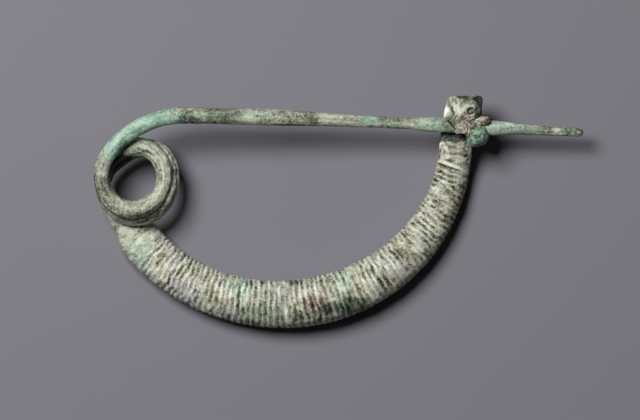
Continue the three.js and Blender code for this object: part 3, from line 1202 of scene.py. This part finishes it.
# From the spring to the foot: ashen and green clouds, a brown patch and a dark green one at the middle
BOW_STAINS = (
    Stain(Tint.VERDIGRIS, -32.6, -6.2, 2.8, 2.4, 0.34, ON_BOW),
    Stain(Tint.TONE, -14.0, -12.0, 11.0, 6.0, -0.045, ON_BOW),
    Stain(Tint.TONE, -28.0, -8.5, 4.0, 4.0, 0.04, ON_BOW),
    Stain(Tint.CUPRITE, -34.0, -3.0, 2.4, 2.0, 0.25, ON_BOW),
    Stain(Tint.VERDIGRIS, -16.5, -12.2, 2.6, 2.4, 0.35, ON_BOW),
    Stain(Tint.ASH, -24.5, -13.0, 3.0, 2.6, 0.5, ON_BOW),
    Stain(Tint.MALACHITE, -13.0, -17.0, 8.0, 1.8, 0.55, ON_BOW),
    Stain(Tint.CUPRITE, -3.6, -15.3, 2.8, 2.6, 0.75, ON_BOW),
    Stain(Tint.TONE, -4.6, -16.2, 4.6, 2.4, -0.2, ON_BOW),
    Stain(Tint.TONE, -5.6, -11.2, 4.4, 1.8, -0.1, ON_BOW),
    Stain(Tint.MALACHITE, 1.8, -15.4, 4.2, 1.6, 0.8, ON_BOW),
    Stain(Tint.TONE, 1.8, -15.4, 4.2, 1.6, -0.22, ON_BOW),
    Stain(Tint.VERDIGRIS, 0.6, -11.6, 1.8, 1.8, 0.36, ON_BOW),
    Stain(Tint.ASH, 9.0, -9.6, 3.0, 2.6, 0.35, ON_BOW),
    Stain(Tint.CUPRITE, 17.0, 1.5, 3.2, 3.4, 0.3, ON_BOW),
    Stain(Tint.TONE, 18.0, 3.0, 3.4, 6.0, -0.08, ON_BOW),
)
# Brown foot with pale scratches and the first rib drawn pale, and a painted shadow, dark green, where the
# flap and the pin shade the foot
FOOT_STAINS = (
    Stain(Tint.TONE, 18.6, 9.4, 3.2, 2.8, -0.1, ON_FOOT),
    Stain(Tint.TONE, 16.3, 10.2, 0.28, 1.9, 0.4, ON_FOOT, turned=-18),
    Stain(Tint.TONE, 17.3, 10.9, 0.26, 1.2, 0.4, ON_FOOT, turned=25),
    Stain(Tint.TONE, 16.5, 9.5, 0.2, 1.1, -0.45, ON_BOW, turned=-8),
    Stain(Tint.TONE, 17.3, 9.5, 0.8, 1.0, 0.22, ON_BOW),
    Stain(Tint.TONE, 18.4, 7.7, 2.8, 0.3, 0.42, ON_BOW, turned=-20),
    Stain(Tint.TONE, 18.3, 7.25, 2.8, 0.25, -0.3, ON_BOW, turned=-20),
    Stain(Tint.CUPRITE, 19.3, 10.5, 2.5, 1.9, 0.65, ON_FOOT),
    # Painted shadow: the dark green band where the flap and the pin shade the foot
    Stain(Tint.TONE, 18.6, 12.2, 3.0, 0.95, -1.2, ON_FOOT, below=7.0),
    Stain(Tint.MALACHITE, 18.6, 12.2, 3.0, 0.95, 0.7, ON_FOOT, below=7.0),
    Stain(Tint.VERDIGRIS, 18.6, 12.2, 3.0, 0.95, -0.6, ON_FOOT, below=7.0),
)
# Pale and dark streaks down the flap, painted shade on its right edge, and painted shade in the hollow around
# a paler crumb
CATCH_STAINS = (
    Stain(Tint.TONE, 17.6, 16.5, 0.6, 1.1, 0.5, ON_CATCH),
    Stain(Tint.TONE, 19.3, 16.9, 0.7, 2.0, 0.38, ON_CATCH, turned=36),
    Stain(Tint.TONE, 18.5, 16.4, 0.3, 1.6, -0.25, ON_CATCH, turned=25),
    Stain(Tint.TONE, 20.6, 16.4, 0.3, 1.0, 0.4, ON_CATCH),
    Stain(Tint.TONE, 21.4, 17.35, 1.0, 0.3, 0.35, ON_CATCH),
    Stain(Tint.MALACHITE, 21.6, 17.6, 1.6, 1.4, 0.45, ON_CATCH),
    Stain(Tint.TONE, 21.9, 17.0, 1.2, 1.8, -0.06, ON_CATCH),
    # Painted shade on the right side of the roll, away from the light
    Stain(Tint.TONE, 23.3, 17.0, 1.6, 3.0, -0.65, ON_CATCH),
    # Painted shade in the hollow, dark olive, with the paler crumb at its bottom
    Stain(Tint.TONE, 21.5, 16.5, 1.1, 1.1, -0.26, ON_CATCH, below=9.5),
    Stain(Tint.VERDIGRIS, 21.5, 16.5, 1.1, 1.1, -0.5, ON_CATCH, below=9.5),
    Stain(Tint.MALACHITE, 21.5, 16.5, 1.1, 1.1, 0.3, ON_CATCH, below=9.5),
    Stain(Tint.TONE, 21.45, 16.55, 0.3, 0.3, 0.2, ON_CATCH, below=9.5),
    Stain(Tint.MALACHITE, 23.0, 17.0, 1.4, 2.6, 0.4, ON_CATCH),
    Stain(Tint.TONE, 20.1, 18.8, 1.2, 0.3, -0.4, ON_CATCH),
    Stain(Tint.TONE, 19.9, 14.6, 1.8, 1.8, 0.06, ON_CATCH),
    Stain(Tint.CUPRITE, 20.2, 14.4, 1.8, 1.8, 0.5, (Part.CATCH, Part.KNOB)),
    Stain(Tint.MALACHITE, 18.3, 14.2, 0.9, 1.8, 0.6, ON_CATCH),
    Stain(Tint.TONE, 18.2, 14.2, 0.9, 1.8, -0.15, ON_CATCH),
)
# Brown knob with pale and dark spots, above a green lump with a brown right side
LUMP_STAINS = (
    Stain(Tint.CUPRITE, 23.1, 15.0, 2.4, 1.6, 0.4, ON_KNOB),
    Stain(Tint.TONE, 24.4, 14.7, 0.7, 0.8, -0.3, ON_KNOB),
    Stain(Tint.TONE, 23.3, 15.1, 0.5, 0.4, 0.3, ON_KNOB),
    Stain(Tint.TONE, 22.4, 15.3, 0.5, 0.4, 0.25, ON_KNOB),
    Stain(Tint.VERDIGRIS, 22.8, 15.0, 2.8, 1.8, -0.6, ON_KNOB),
    Stain(Tint.VERDIGRIS, 22.3, 12.8, 3.0, 3.0, 0.74, ON_LUMP),
    Stain(Tint.TONE, 22.3, 12.8, 3.0, 3.0, -0.14, ON_LUMP),
    Stain(Tint.MALACHITE, 22.3, 12.8, 3.0, 3.0, 0.15, ON_LUMP),
    Stain(Tint.CUPRITE, 24.6, 13.4, 0.9, 1.6, 0.8, ON_LUMP),
)
STAINS = PIN_STAINS + SPRING_STAINS + BOW_STAINS + FOOT_STAINS + CATCH_STAINS + LUMP_STAINS


@dataclass(frozen=True)
class Layer:
    """A tint that comes and goes over the whole brooch.

    Attributes:
        cloud: where it comes.
        where: values of the cloud between which it comes in.
        on_bow, elsewhere: how strong it is.
    """

    cloud: Cloud
    where: Pair
    on_bow: float
    elsewhere: float

    def cover(self, points: Array, bow: Array) -> Array:
        """How strongly it covers each point, of which some are the bow's."""
        return smoothstep(self.cloud.at(points), *self.where) * np.where(bow, self.on_bow, self.elsewhere)


@dataclass(frozen=True)
class ToneMix:
    """How much each pattern lightens or darkens the crust, by the patterns' names.

    Attributes:
        base: tone of the plain skin.
        relief: darker in the hollows and paler on the crests, partly the patina's own pattern and partly
            painted shade in the hollows.
        vein, fleck, mottle, broad: fine lines around the bow, then spots from small to large.
        streak, lengthwise: draw lines along the wire, and longer ones.
    """

    base: float
    relief: float
    fleck: float
    mottle: float
    broad: float
    vein: float = 0.0
    streak: float = 0.0
    lengthwise: float = 0.0

    def tone(self, patterns: dict[str, Array]) -> Array:
        """Tone of each point, about 0 for dark and 1 for pale."""
        return self.base + sum(getattr(self, name) * values for name, values in patterns.items())


@dataclass
class Corrosion:
    """What centuries in the ground did to the skin: swells, grit, crusts, pits, draw lines and stains, with
    the painted shade and the painted highlight that its tints carry.

    Attributes:
        swell, grit, crust, pit_depth, streak_depth: how far each one moves the skin, in millimetres.
        swells, grains, crusts, pits, streaks: their patterns.
        pitted_where: values of the pits' pattern between which a pit sinks.
        harshness: how strong the grit and the pits are on each part, and then the crust.
        spring_furrows: how much deeper the streaks are on the spring.
        streak_girth, vein_girth: half sizes of the section that lines and veins are laid out around.
        bow_tone, spring_tone, plain_tone: how the tone is mixed on the bow, the spring and the rest.
        hollow_shade: painted shade in pits and furrows, how much darker the skin is drawn for each millimetre
            that it is eaten away.
        vein, fleck, mottle, broad, lengthwise: patterns of the tone.
        ragged: pattern of the stains' edges.
        layers: tints over the whole brooch.
        wire_malachite: how olive the pin and the spring are all over.
        stains: patches of tint, some of them painted shade and one a painted highlight.
    """

    swell: float = 0.06
    swells: Cloud = Cloud(2.8, 1.7)
    grit: float = 0.04
    grains: Cloud = Cloud(0.6, 21.1)
    crust: float = 0.16
    crusts: Cloud = Cloud(1.3, 141.9, 3)
    pit_depth: float = 0.1
    pits: Cloud = Cloud(1.0, 31.7)
    pitted_where: Pair = (0.3, 0.75)
    streak_depth: float = 0.03
    streaks: Cloud = Cloud((5.0, 0.42, 0.42), 41.3)
    harshness: dict[Part, Pair] = field(
        default_factory=lambda: {
            Part.BOW: (0.7, 0.15),
            Part.SPRING: (1.2, 0.45),
            Part.PIN: (0.9, 0.1),
            Part.CATCH: (1.3, 0.6),
            Part.LUMP: (1.4, 0.8),
            Part.KNOB: (2.0, 1.5),
        }
    )
    spring_furrows: float = 4.0
    streak_girth: float = 1.4
    vein_girth: float = 3.6
    # The tone follows the relief: partly the patina's own pattern, partly painted shade in the hollows and
    # grooves
    bow_tone: ToneMix = ToneMix(0.235, relief=0.6, fleck=0.14, mottle=0.2, broad=0.1, vein=0.34)
    spring_tone: ToneMix = ToneMix(
        0.278, relief=0.32, fleck=0.13, mottle=0.13, broad=0.08, streak=0.24, lengthwise=0.08
    )
    plain_tone: ToneMix = ToneMix(
        0.278, relief=0.32, fleck=0.13, mottle=0.13, broad=0.08, streak=0.14, lengthwise=0.08
    )
    hollow_shade: float = 1.2
    vein: Cloud = Cloud((0.6, 2.0, 2.0), 51.9)
    fleck: Cloud = Cloud(0.7, 131.1)
    mottle: Cloud = Cloud(1.6, 61.3, 3)
    broad: Cloud = Cloud(4.5, 71.7)
    lengthwise: Cloud = Cloud((4.0, 1.6, 1.6), 91.9)
    ragged: Cloud = Cloud(1.5, 81.1, 3)
    layers: dict[Tint, Layer] = field(
        default_factory=lambda: {
            Tint.VERDIGRIS: Layer(Cloud(3.2, 101.3, 3), (0.05, 0.6), on_bow=0.16, elsewhere=0.35),
            Tint.MALACHITE: Layer(Cloud(2.7, 111.7, 3), (0.2, 0.8), on_bow=0.0, elsewhere=0.15),
            Tint.CUPRITE: Layer(Cloud(2.7, 111.7, 3), (0.2, 0.8), on_bow=0.35, elsewhere=0.12),
            Tint.ASH: Layer(Cloud(3.6, 121.1, 3), (0.1, 0.7), on_bow=0.45, elsewhere=0.15),
        }
    )
    wire_malachite: float = 0.2
    stains: tuple[Stain, ...] = STAINS

    def roughen(self, mesh: bpy.types.Mesh, low: Array, high: Array) -> None:
        """Move the skin in and out, stain it, and keep it inside the solid's box.

        Args:
            mesh: the united brooch, with the marks of all its points.
            low: lowest corner of the solid's box.
            high: highest corner of the box.
        """
        count = len(mesh.vertices)
        points = read_points(mesh.vertices, "co", count).astype(float) / MM
        normals = read_points(mesh.vertex_normals, "vector", count).astype(float)
        marks = {mark: read_attribute(mesh, mark.value) for mark in Mark}
        height, streak = self.heights(points, marks)
        tints = self.tints(points, marks, height, streak)
        moved = np.clip(points + normals * height[:, None], low, high)
        mesh.vertices.foreach_set("co", (moved * MM).astype(np.float32).ravel())
        for tint, values in tints.items():
            write_attribute(mesh, tint.value, np.clip(values, 0, 1))
        for mark in Mark:
            mesh.attributes.remove(mesh.attributes[mark.value])
        mesh.update()

    def heights(self, points: Array, marks: dict[Mark, Array]) -> tuple[Array, Array]:
        """How far corrosion lifts or eats the skin.

        Args:
            points: the skin before corrosion moves it.
            marks: what each point was given when it was lofted.

        Returns:
            Millimetres for each point, and the lines along the wire from -1 to 1.
        """
        part = marks[Mark.PART].round().astype(int)
        wire = np.isin(part, [Part.SPRING.value, Part.PIN.value])
        pitted = smoothstep(self.pits.at(points), *self.pitted_where)
        streak = self.streaks.at(around_bar(marks, self.streak_girth)) * wire
        furrow = streak * np.where(part == Part.SPRING.value, self.spring_furrows, 1.0)
        roughness, crusting = np.array([self.harshness[p] for p in Part]).T[:, part - 1]
        height = self.swell * self.swells.at(points)
        height = height + (self.grit * self.grains.at(points) - self.pit_depth * pitted) * roughness
        height = height + self.crust * crusting * self.crusts.at(points) + self.streak_depth * furrow
        return height, streak

    def tints(
        self, points: Array, marks: dict[Mark, Array], height: Array, streak: Array
    ) -> dict[Tint, Array]:
        """Amount of each tint at each point.

        Args:
            points: the skin before corrosion moves it.
            marks: what each point was given when it was lofted.
            height: how far corrosion moves it.
            streak: lines along the wire.

        Returns:
            Values from about 0 to 1 for every tint.
        """
        part = marks[Mark.PART]
        bow, spring, pin = [part == p.value for p in (Part.BOW, Part.SPRING, Part.PIN)]
        girth = around_bar(marks, self.vein_girth)
        patterns = {
            "relief": marks[Mark.RELIEF],
            "fleck": self.fleck.at(points),
            "mottle": self.mottle.at(points),
            "broad": self.broad.at(points),
            "vein": self.vein.at(girth),
            "streak": streak,
            "lengthwise": self.lengthwise.at(girth),
        }
        mixes = (self.bow_tone, self.spring_tone, self.plain_tone)
        on_bow, on_spring, elsewhere = [mix.tone(patterns) for mix in mixes]
        tone = np.select([bow, spring], [on_bow, on_spring], elsewhere)
        # Painted shade: the tone darkens where the skin sinks into pits and furrows
        amounts = {Tint.TONE: tone + self.hollow_shade * np.minimum(height, 0)}
        amounts |= {tint: layer.cover(points, bow) for tint, layer in self.layers.items()}
        amounts[Tint.MALACHITE] += self.wire_malachite * (pin | spring)
        ragged = self.ragged.at(points)
        for stain in self.stains:
            amounts[stain.tint] += stain.cover(points, part, ragged)
        return amounts


@dataclass(frozen=True)
class Ramp:
    """Colours of one layer of patina.

    Attributes:
        stops: places from 0 in the hollows to 1 on the crests, each with a colour as sRGB hex.
    """

    stops: tuple[tuple[float, str], ...]

    def node(self, tree: Tree, tone: Socket) -> Socket:
        """Add the ramp to a tree.

        Args:
            tree: the material's tree.
            tone: how pale the skin is drawn, painted shade included, from 0 to 1.

        Returns:
            A colour that follows the tone.
        """
        node = add_node(tree, "ShaderNodeValToRGB", {"Fac": tone})
        elements = node.color_ramp.elements
        while len(elements) < len(self.stops):
            elements.new(0.5)
        for element, (position, colour) in zip(elements, self.stops):
            element.position = position
            element.color = linear(colour)
        return node.outputs["Color"]


@dataclass(frozen=True)
class PatinatedBronze:
    """Cast and hammered tin bronze, mineralised in the ground.

    What shows is not metal but a matt stony crust: buff and grey tin oxides over most of it, blue-green
    carbonate where copper came out, dark green malachite and brown cuprite in the hollows. To the eye it
    is dry and gritty, paler on every crest and darker in every groove, with hardly a glint; the darker
    grooves are partly painted shade, drawn into the tone.

    Attributes:
        name: name of the material.
        buff, verdigris, malachite, cuprite, ash: colours of its layers.
        grain_mm, grain_swing, grain_layers: the fine grain, which is drawn coarser than the real dust of
            crystals, because that is too fine to see, and how much it lightens and darkens the tone.
        speck_mm, speck_edge, speck_tone: gap between the pale specks, where their edge fades as a share
            of that gap, and how much paler they are.
        roughness: how matt it is in the hollows and on the crests.
        metallic: how much bare metal still shows through.
        bump_mm: height of the grain.
    """

    name: str = "patinated_bronze"
    buff: Ramp = Ramp(
        ((0.0, "#2e2d20"), (0.2, "#6b6a56"), (0.45, "#aeae98"), (0.72, "#d2d3c1"), (1.0, "#f4f4e9"))
    )
    verdigris: Ramp = Ramp(((0.0, "#243a2c"), (0.25, "#678f7b"), (0.55, "#a2c7b2"), (1.0, "#d9f0e3")))
    malachite: Ramp = Ramp(((0.0, "#161f18"), (0.3, "#4b5e4d"), (0.6, "#7f9079"), (1.0, "#b9c6ae")))
    cuprite: Ramp = Ramp(((0.0, "#29201a"), (0.3, "#6d5f52"), (0.6, "#a3978b"), (1.0, "#dbd2c6")))
    ash: Ramp = Ramp(((0.0, "#454346"), (0.3, "#848085"), (0.6, "#b9b7ba"), (1.0, "#e9e7ea")))
    grain_mm: float = 0.35
    grain_layers: float = 3.0
    grain_swing: float = 0.5
    speck_mm: float = 0.9
    speck_edge: Pair = (0.08, 0.2)
    speck_tone: float = 0.28
    roughness: Pair = (0.5, 0.82)
    metallic: float = 0.08
    bump_mm: float = 0.03

    def material(self) -> bpy.types.Material:
        """The finish as a node material, whose grain is set in millimetres.

        Returns:
            The material, which reads the tints of the mesh.
        """
        material = bpy.data.materials.new(self.name)
        material.use_nodes = True
        tree = material.node_tree
        tree.nodes.clear()
        place = add_node(tree, "ShaderNodeTexCoord").outputs["Object"]
        links = {"Vector": place, "Scale": 1 / (self.grain_mm * MM), "Detail": self.grain_layers}
        grain = add_node(tree, "ShaderNodeTexNoise", links).outputs["Fac"]
        tone = self.tone(tree, place, grain)
        colour = self.buff.node(tree, tone)
        layers = {
            Tint.ASH: self.ash,
            Tint.CUPRITE: self.cuprite,
            Tint.VERDIGRIS: self.verdigris,
            Tint.MALACHITE: self.malachite,
        }
        for tint, ramp in layers.items():
            amount = add_node(tree, "ShaderNodeAttribute", attribute_name=tint.value).outputs["Fac"]
            links = {"Factor": amount, MIX_UNDER: colour, MIX_OVER: ramp.node(tree, tone)}
            colour = add_node(tree, "ShaderNodeMix", links, data_type="RGBA").outputs[MIX_RESULT]
        low, high = self.roughness
        rough = add_node(tree, "ShaderNodeMapRange", {"Value": tone, "To Min": low, "To Max": high})
        links = {"Height": grain, "Distance": self.bump_mm * MM, "Strength": 1.0}
        bump = add_node(tree, "ShaderNodeBump", links)
        links = {
            "Base Color": colour,
            "Roughness": rough.outputs["Result"],
            "Metallic": self.metallic,
            "Normal": bump.outputs["Normal"],
        }
        shader = add_node(tree, "ShaderNodeBsdfPrincipled", links)
        add_node(tree, "ShaderNodeOutputMaterial", {"Surface": shader.outputs["BSDF"]})
        return material

    def tone(self, tree: Tree, place: Socket, grain: Socket) -> Socket:
        """How pale the skin is drawn at a place: the mesh's own tone, which holds painted shade too, with
        grain and a few pale specks.

        Args:
            tree: the material's tree.
            place: where a point is on the brooch.
            grain: fine noise from 0 to 1.

        Returns:
            A socket that runs from 0 in the hollows to 1 on the crests.
        """
        base = add_node(tree, "ShaderNodeAttribute", attribute_name=Tint.TONE.value).outputs["Fac"]
        links = {"Value": grain, "To Min": -self.grain_swing, "To Max": self.grain_swing}
        swing = add_node(tree, "ShaderNodeMapRange", links)
        mixed = add_node(tree, "ShaderNodeMath", {0: base, 1: swing.outputs["Result"]}, operation="ADD")
        cells = add_node(tree, "ShaderNodeTexVoronoi", {"Vector": place, "Scale": 1 / (self.speck_mm * MM)})
        inner, outer = self.speck_edge
        links = {"Value": cells.outputs["Distance"], "From Min": inner, "From Max": outer}
        speck = add_node(tree, "ShaderNodeMapRange", links | {"To Min": self.speck_tone, "To Max": 0.0})
        links = {0: mixed.outputs[0], 1: speck.outputs["Result"]}
        return add_node(tree, "ShaderNodeMath", links, operation="ADD", use_clamp=True).outputs[0]


@dataclass(frozen=True)
class MattCard:
    """Pale grey card, uncoated, which shows soft shadows and no shine.

    Attributes:
        name: name of the material.
        colour: its colour, as sRGB hex.
        roughness: how matt it is.
        specular: how little it shines.
    """

    name: str = "matt_card"
    colour: str = "#7f7d84"
    roughness: float = 0.95
    specular: float = 0.1

    def material(self) -> bpy.types.Material:
        """The finish as a plain material.

        Returns:
            The material.
        """
        material = bpy.data.materials.new(self.name)
        material.use_nodes = True
        shader = material.node_tree.nodes["Principled BSDF"]
        shader.inputs["Base Color"].default_value = linear(self.colour)
        shader.inputs["Roughness"].default_value = self.roughness
        shader.inputs["Specular IOR Level"].default_value = self.specular
        return material


@dataclass
class Brooch:
    """The whole fibula, one piece of bronze.

    Attributes:
        bow, wire, catch: its stretches.
        lumps: corrosion that holds the pin in the catch.
        hollow, crumb: the hollow in the flap, and the crust that is left at the bottom of it.
        corrosion: what the ground did to the skin.
        finish: what the skin is made of now.
        name: name of the piece.
    """

    bow: Bow
    wire: Wire
    catch: Catch
    lumps: tuple[Lump, ...]
    hollow: Lump
    crumb: Lump
    corrosion: Corrosion
    finish: PatinatedBronze
    name: str = "fibula_bronze"

    def build(self) -> Thing:
        """Loft every stretch, unite them, corrode the skin and dress it.

        Returns:
            The finished piece.
        """
        shells = [self.bow.build(self.wire.spring), *self.wire.build(), self.catch.build()]
        shells += [lump.build() for lump in self.lumps]
        things = [shell.to_object(f"{self.name}_{i}") for i, shell in enumerate(shells)]
        hollow = self.hollow.build().to_object("hollow")
        crumb = self.crumb.build().to_object("crumb")
        mesh = self.unite(things, hollow, crumb)
        low, high = (np.array(corner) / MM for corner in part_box(SOLID_NODE))
        self.settle(mesh, low, high)
        self.corrosion.roughen(mesh, low, high)
        mesh.materials.clear()
        mesh.materials.append(self.finish.material())
        mesh.polygons.foreach_set("use_smooth", np.ones(len(mesh.polygons), bool))
        mesh.polygons.foreach_set("material_index", np.zeros(len(mesh.polygons), np.int32))
        triangles = sum(len(p.vertices) - 2 for p in mesh.polygons)
        log.info("%s: %d points, %d triangles", self.name, len(mesh.vertices), triangles)
        return add_object(self.name, mesh)

    def unite(self, things: list[Thing], hollow: Thing, crumb: Thing) -> bpy.types.Mesh:
        """One closed mesh of overlapping ones, whose seams take the marks of the points beside them.

        Args:
            things: closed meshes, which are used up.
            hollow: a closed mesh that is cut out of them.
            crumb: a closed mesh that is put back into the hollow. Both are used up too.

        Returns:
            Their union, less the hollow and with the crumb.
        """
        base = things[0]
        steps = [("UNION", thing) for thing in things[1:]] + [("DIFFERENCE", hollow), ("UNION", crumb)]
        for operation, other in steps:
            step = base.modifiers.new("step", "BOOLEAN")
            step.operation = operation
            step.solver = "MANIFOLD"
            step.object = other
        evaluated = base.evaluated_get(bpy.context.evaluated_depsgraph_get())
        mesh = bpy.data.meshes.new_from_object(evaluated)
        for thing in [*things, hollow, crumb]:
            bpy.data.objects.remove(thing)
        mesh.name = self.name
        self.mark_seams(mesh)
        return mesh

    def mark_seams(self, mesh: bpy.types.Mesh) -> None:
        """Give the points that the union added the marks of the nearest point that has them.

        Args:
            mesh: the union, whose lofted points have their marks.
        """
        known = read_attribute(mesh, Mark.KNOWN.value) > 0.5
        tree = kdtree.KDTree(int(known.sum()))
        for index in np.flatnonzero(known).tolist():
            tree.insert(mesh.vertices[index].co, index)
        tree.balance()
        new = np.flatnonzero(~known)
        nearest = np.array([tree.find(mesh.vertices[i].co)[1] for i in new.tolist()], int)
        for mark in Mark:
            values = read_attribute(mesh, mark.value)
            values[new] = values[nearest]
            write_attribute(mesh, mark.value, values)

    def settle(self, mesh: bpy.types.Mesh, low: Array, high: Array) -> None:
        """Lay the mesh over the solid: the middles of their boxes agree on the level.

        Args:
            mesh: the united brooch.
            low: lowest corner of the solid's box, in millimetres.
            high: highest corner of the box.
        """
        points = read_points(mesh.vertices, "co", len(mesh.vertices))
        middle = (points.min(axis=0) + points.max(axis=0)) / 2
        shift = (low + high) / 2 * MM - middle
        points[:, :2] += shift[:2]
        mesh.vertices.foreach_set("co", points.ravel())
        mesh.update()


@dataclass
class Studio:
    """A pale card under the brooch, one soft light at the upper left and a weak even fill.

    Attributes:
        card: what the card is made of.
        card_half_size: half of the card's side.
        key_direction: the way from the brooch to the light.
        key_distance, key_size, key_power: how far it is, its diameter, and its power in watts.
        ambient, ambient_colour: strength and colour of the fill.
        view_centre, view_width: what the camera looks at, and how much of the width it takes in.
        camera_height, focus_height: heights of the camera, and of the level that has that width.
        sensor: width of the camera's sensor.
        nearest: distance from the camera at which things begin to show.
    """

    card: MattCard
    card_half_size: float = 600.0
    key_direction: Triple = (-0.39, 0.385, 1.0)
    key_distance: float = 550.0
    key_size: float = 235.0
    key_power: float = 3.4
    ambient: float = 0.02
    ambient_colour: str = "#f4f2f6"
    view_centre: Pair = (-3.1, 0.33)
    view_width: float = 104.92
    camera_height: float = 1000.0
    focus_height: float = 4.0
    sensor: float = 36.0
    nearest: float = 10.0

    def lay_card(self) -> None:
        """The card that the brooch lies on."""
        half = self.card_half_size * MM
        corners = [(-half, -half, 0), (half, -half, 0), (half, half, 0), (-half, half, 0)]
        mesh = bpy.data.meshes.new("card")
        mesh.from_pydata(corners, [], [(0, 1, 2, 3)])
        mesh.materials.append(self.card.material())
        floor = add_object("card", mesh)

    def hang_lights(self) -> None:
        """The key light, aimed at the brooch, and the fill from all around."""
        light = bpy.data.lights.new("key", "AREA")
        light.shape = "DISK"
        light.size = self.key_size * MM
        light.energy = self.key_power
        lamp = add_object("key", light)
        direction = Vector(self.key_direction).normalized()
        lamp.location = direction * self.key_distance * MM
        lamp.rotation_euler = direction.to_track_quat("Z", "Y").to_euler()
        world = bpy.data.worlds.new("fill")
        world.use_nodes = True
        background = world.node_tree.nodes["Background"]
        background.inputs["Color"].default_value = linear(self.ambient_colour)
        background.inputs["Strength"].default_value = self.ambient
        bpy.context.scene.world = world
        bpy.context.scene.view_settings.view_transform = "Standard"

    def aim_camera(self) -> None:
        """A long lens straight above the brooch."""
        camera = bpy.data.cameras.new("camera")
        camera.sensor_width = self.sensor
        camera.lens = self.sensor * (self.camera_height - self.focus_height) / self.view_width
        camera.clip_start = self.nearest * MM
        viewer = add_object("camera", camera)
        viewer.location = Vector((*self.view_centre, self.camera_height)) * MM
        bpy.context.scene.camera = viewer


def main() -> None:
    """Build the brooch, then the studio around it, and log how many points and triangles the brooch has."""
    logging.basicConfig(level=logging.INFO, format="%(name)s %(message)s")
    brooch = Brooch(
        bow=Bow(),
        wire=Wire(Spring(), Pin()),
        catch=Catch(),
        lumps=(
            Lump(Part.LUMP, (22.55, 12.65, 7.2), (1.95, 2.1, 2.7), 0.07),
            Lump(Part.KNOB, (23.15, 15.0, 8.0), (1.5, 0.9, 1.5), 0.08),
            Lump(Part.KNOB, (21.3, 13.9, 8.6), (1.1, 1.6, 1.2), 0.1),
        ),
        hollow=Lump(Part.CATCH, (21.5, 16.5, 9.5), (0.65, 0.6, 1.5), 0.0, subdivisions=4),
        crumb=Lump(Part.CATCH, (21.5, 16.5, 8.95), (1.2, 1.15, 0.5), 0.1, subdivisions=4),
        corrosion=Corrosion(),
        finish=PatinatedBronze(),
    )
    piece = brooch.build()
    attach(piece, "root")
    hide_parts(SOLID_NODE)
    studio = Studio(MattCard())
    studio.lay_card()
    studio.hang_lights()
    studio.aim_camera()
    log.info("studio: card, key light and camera")


if __name__ == "__main__":
    main()
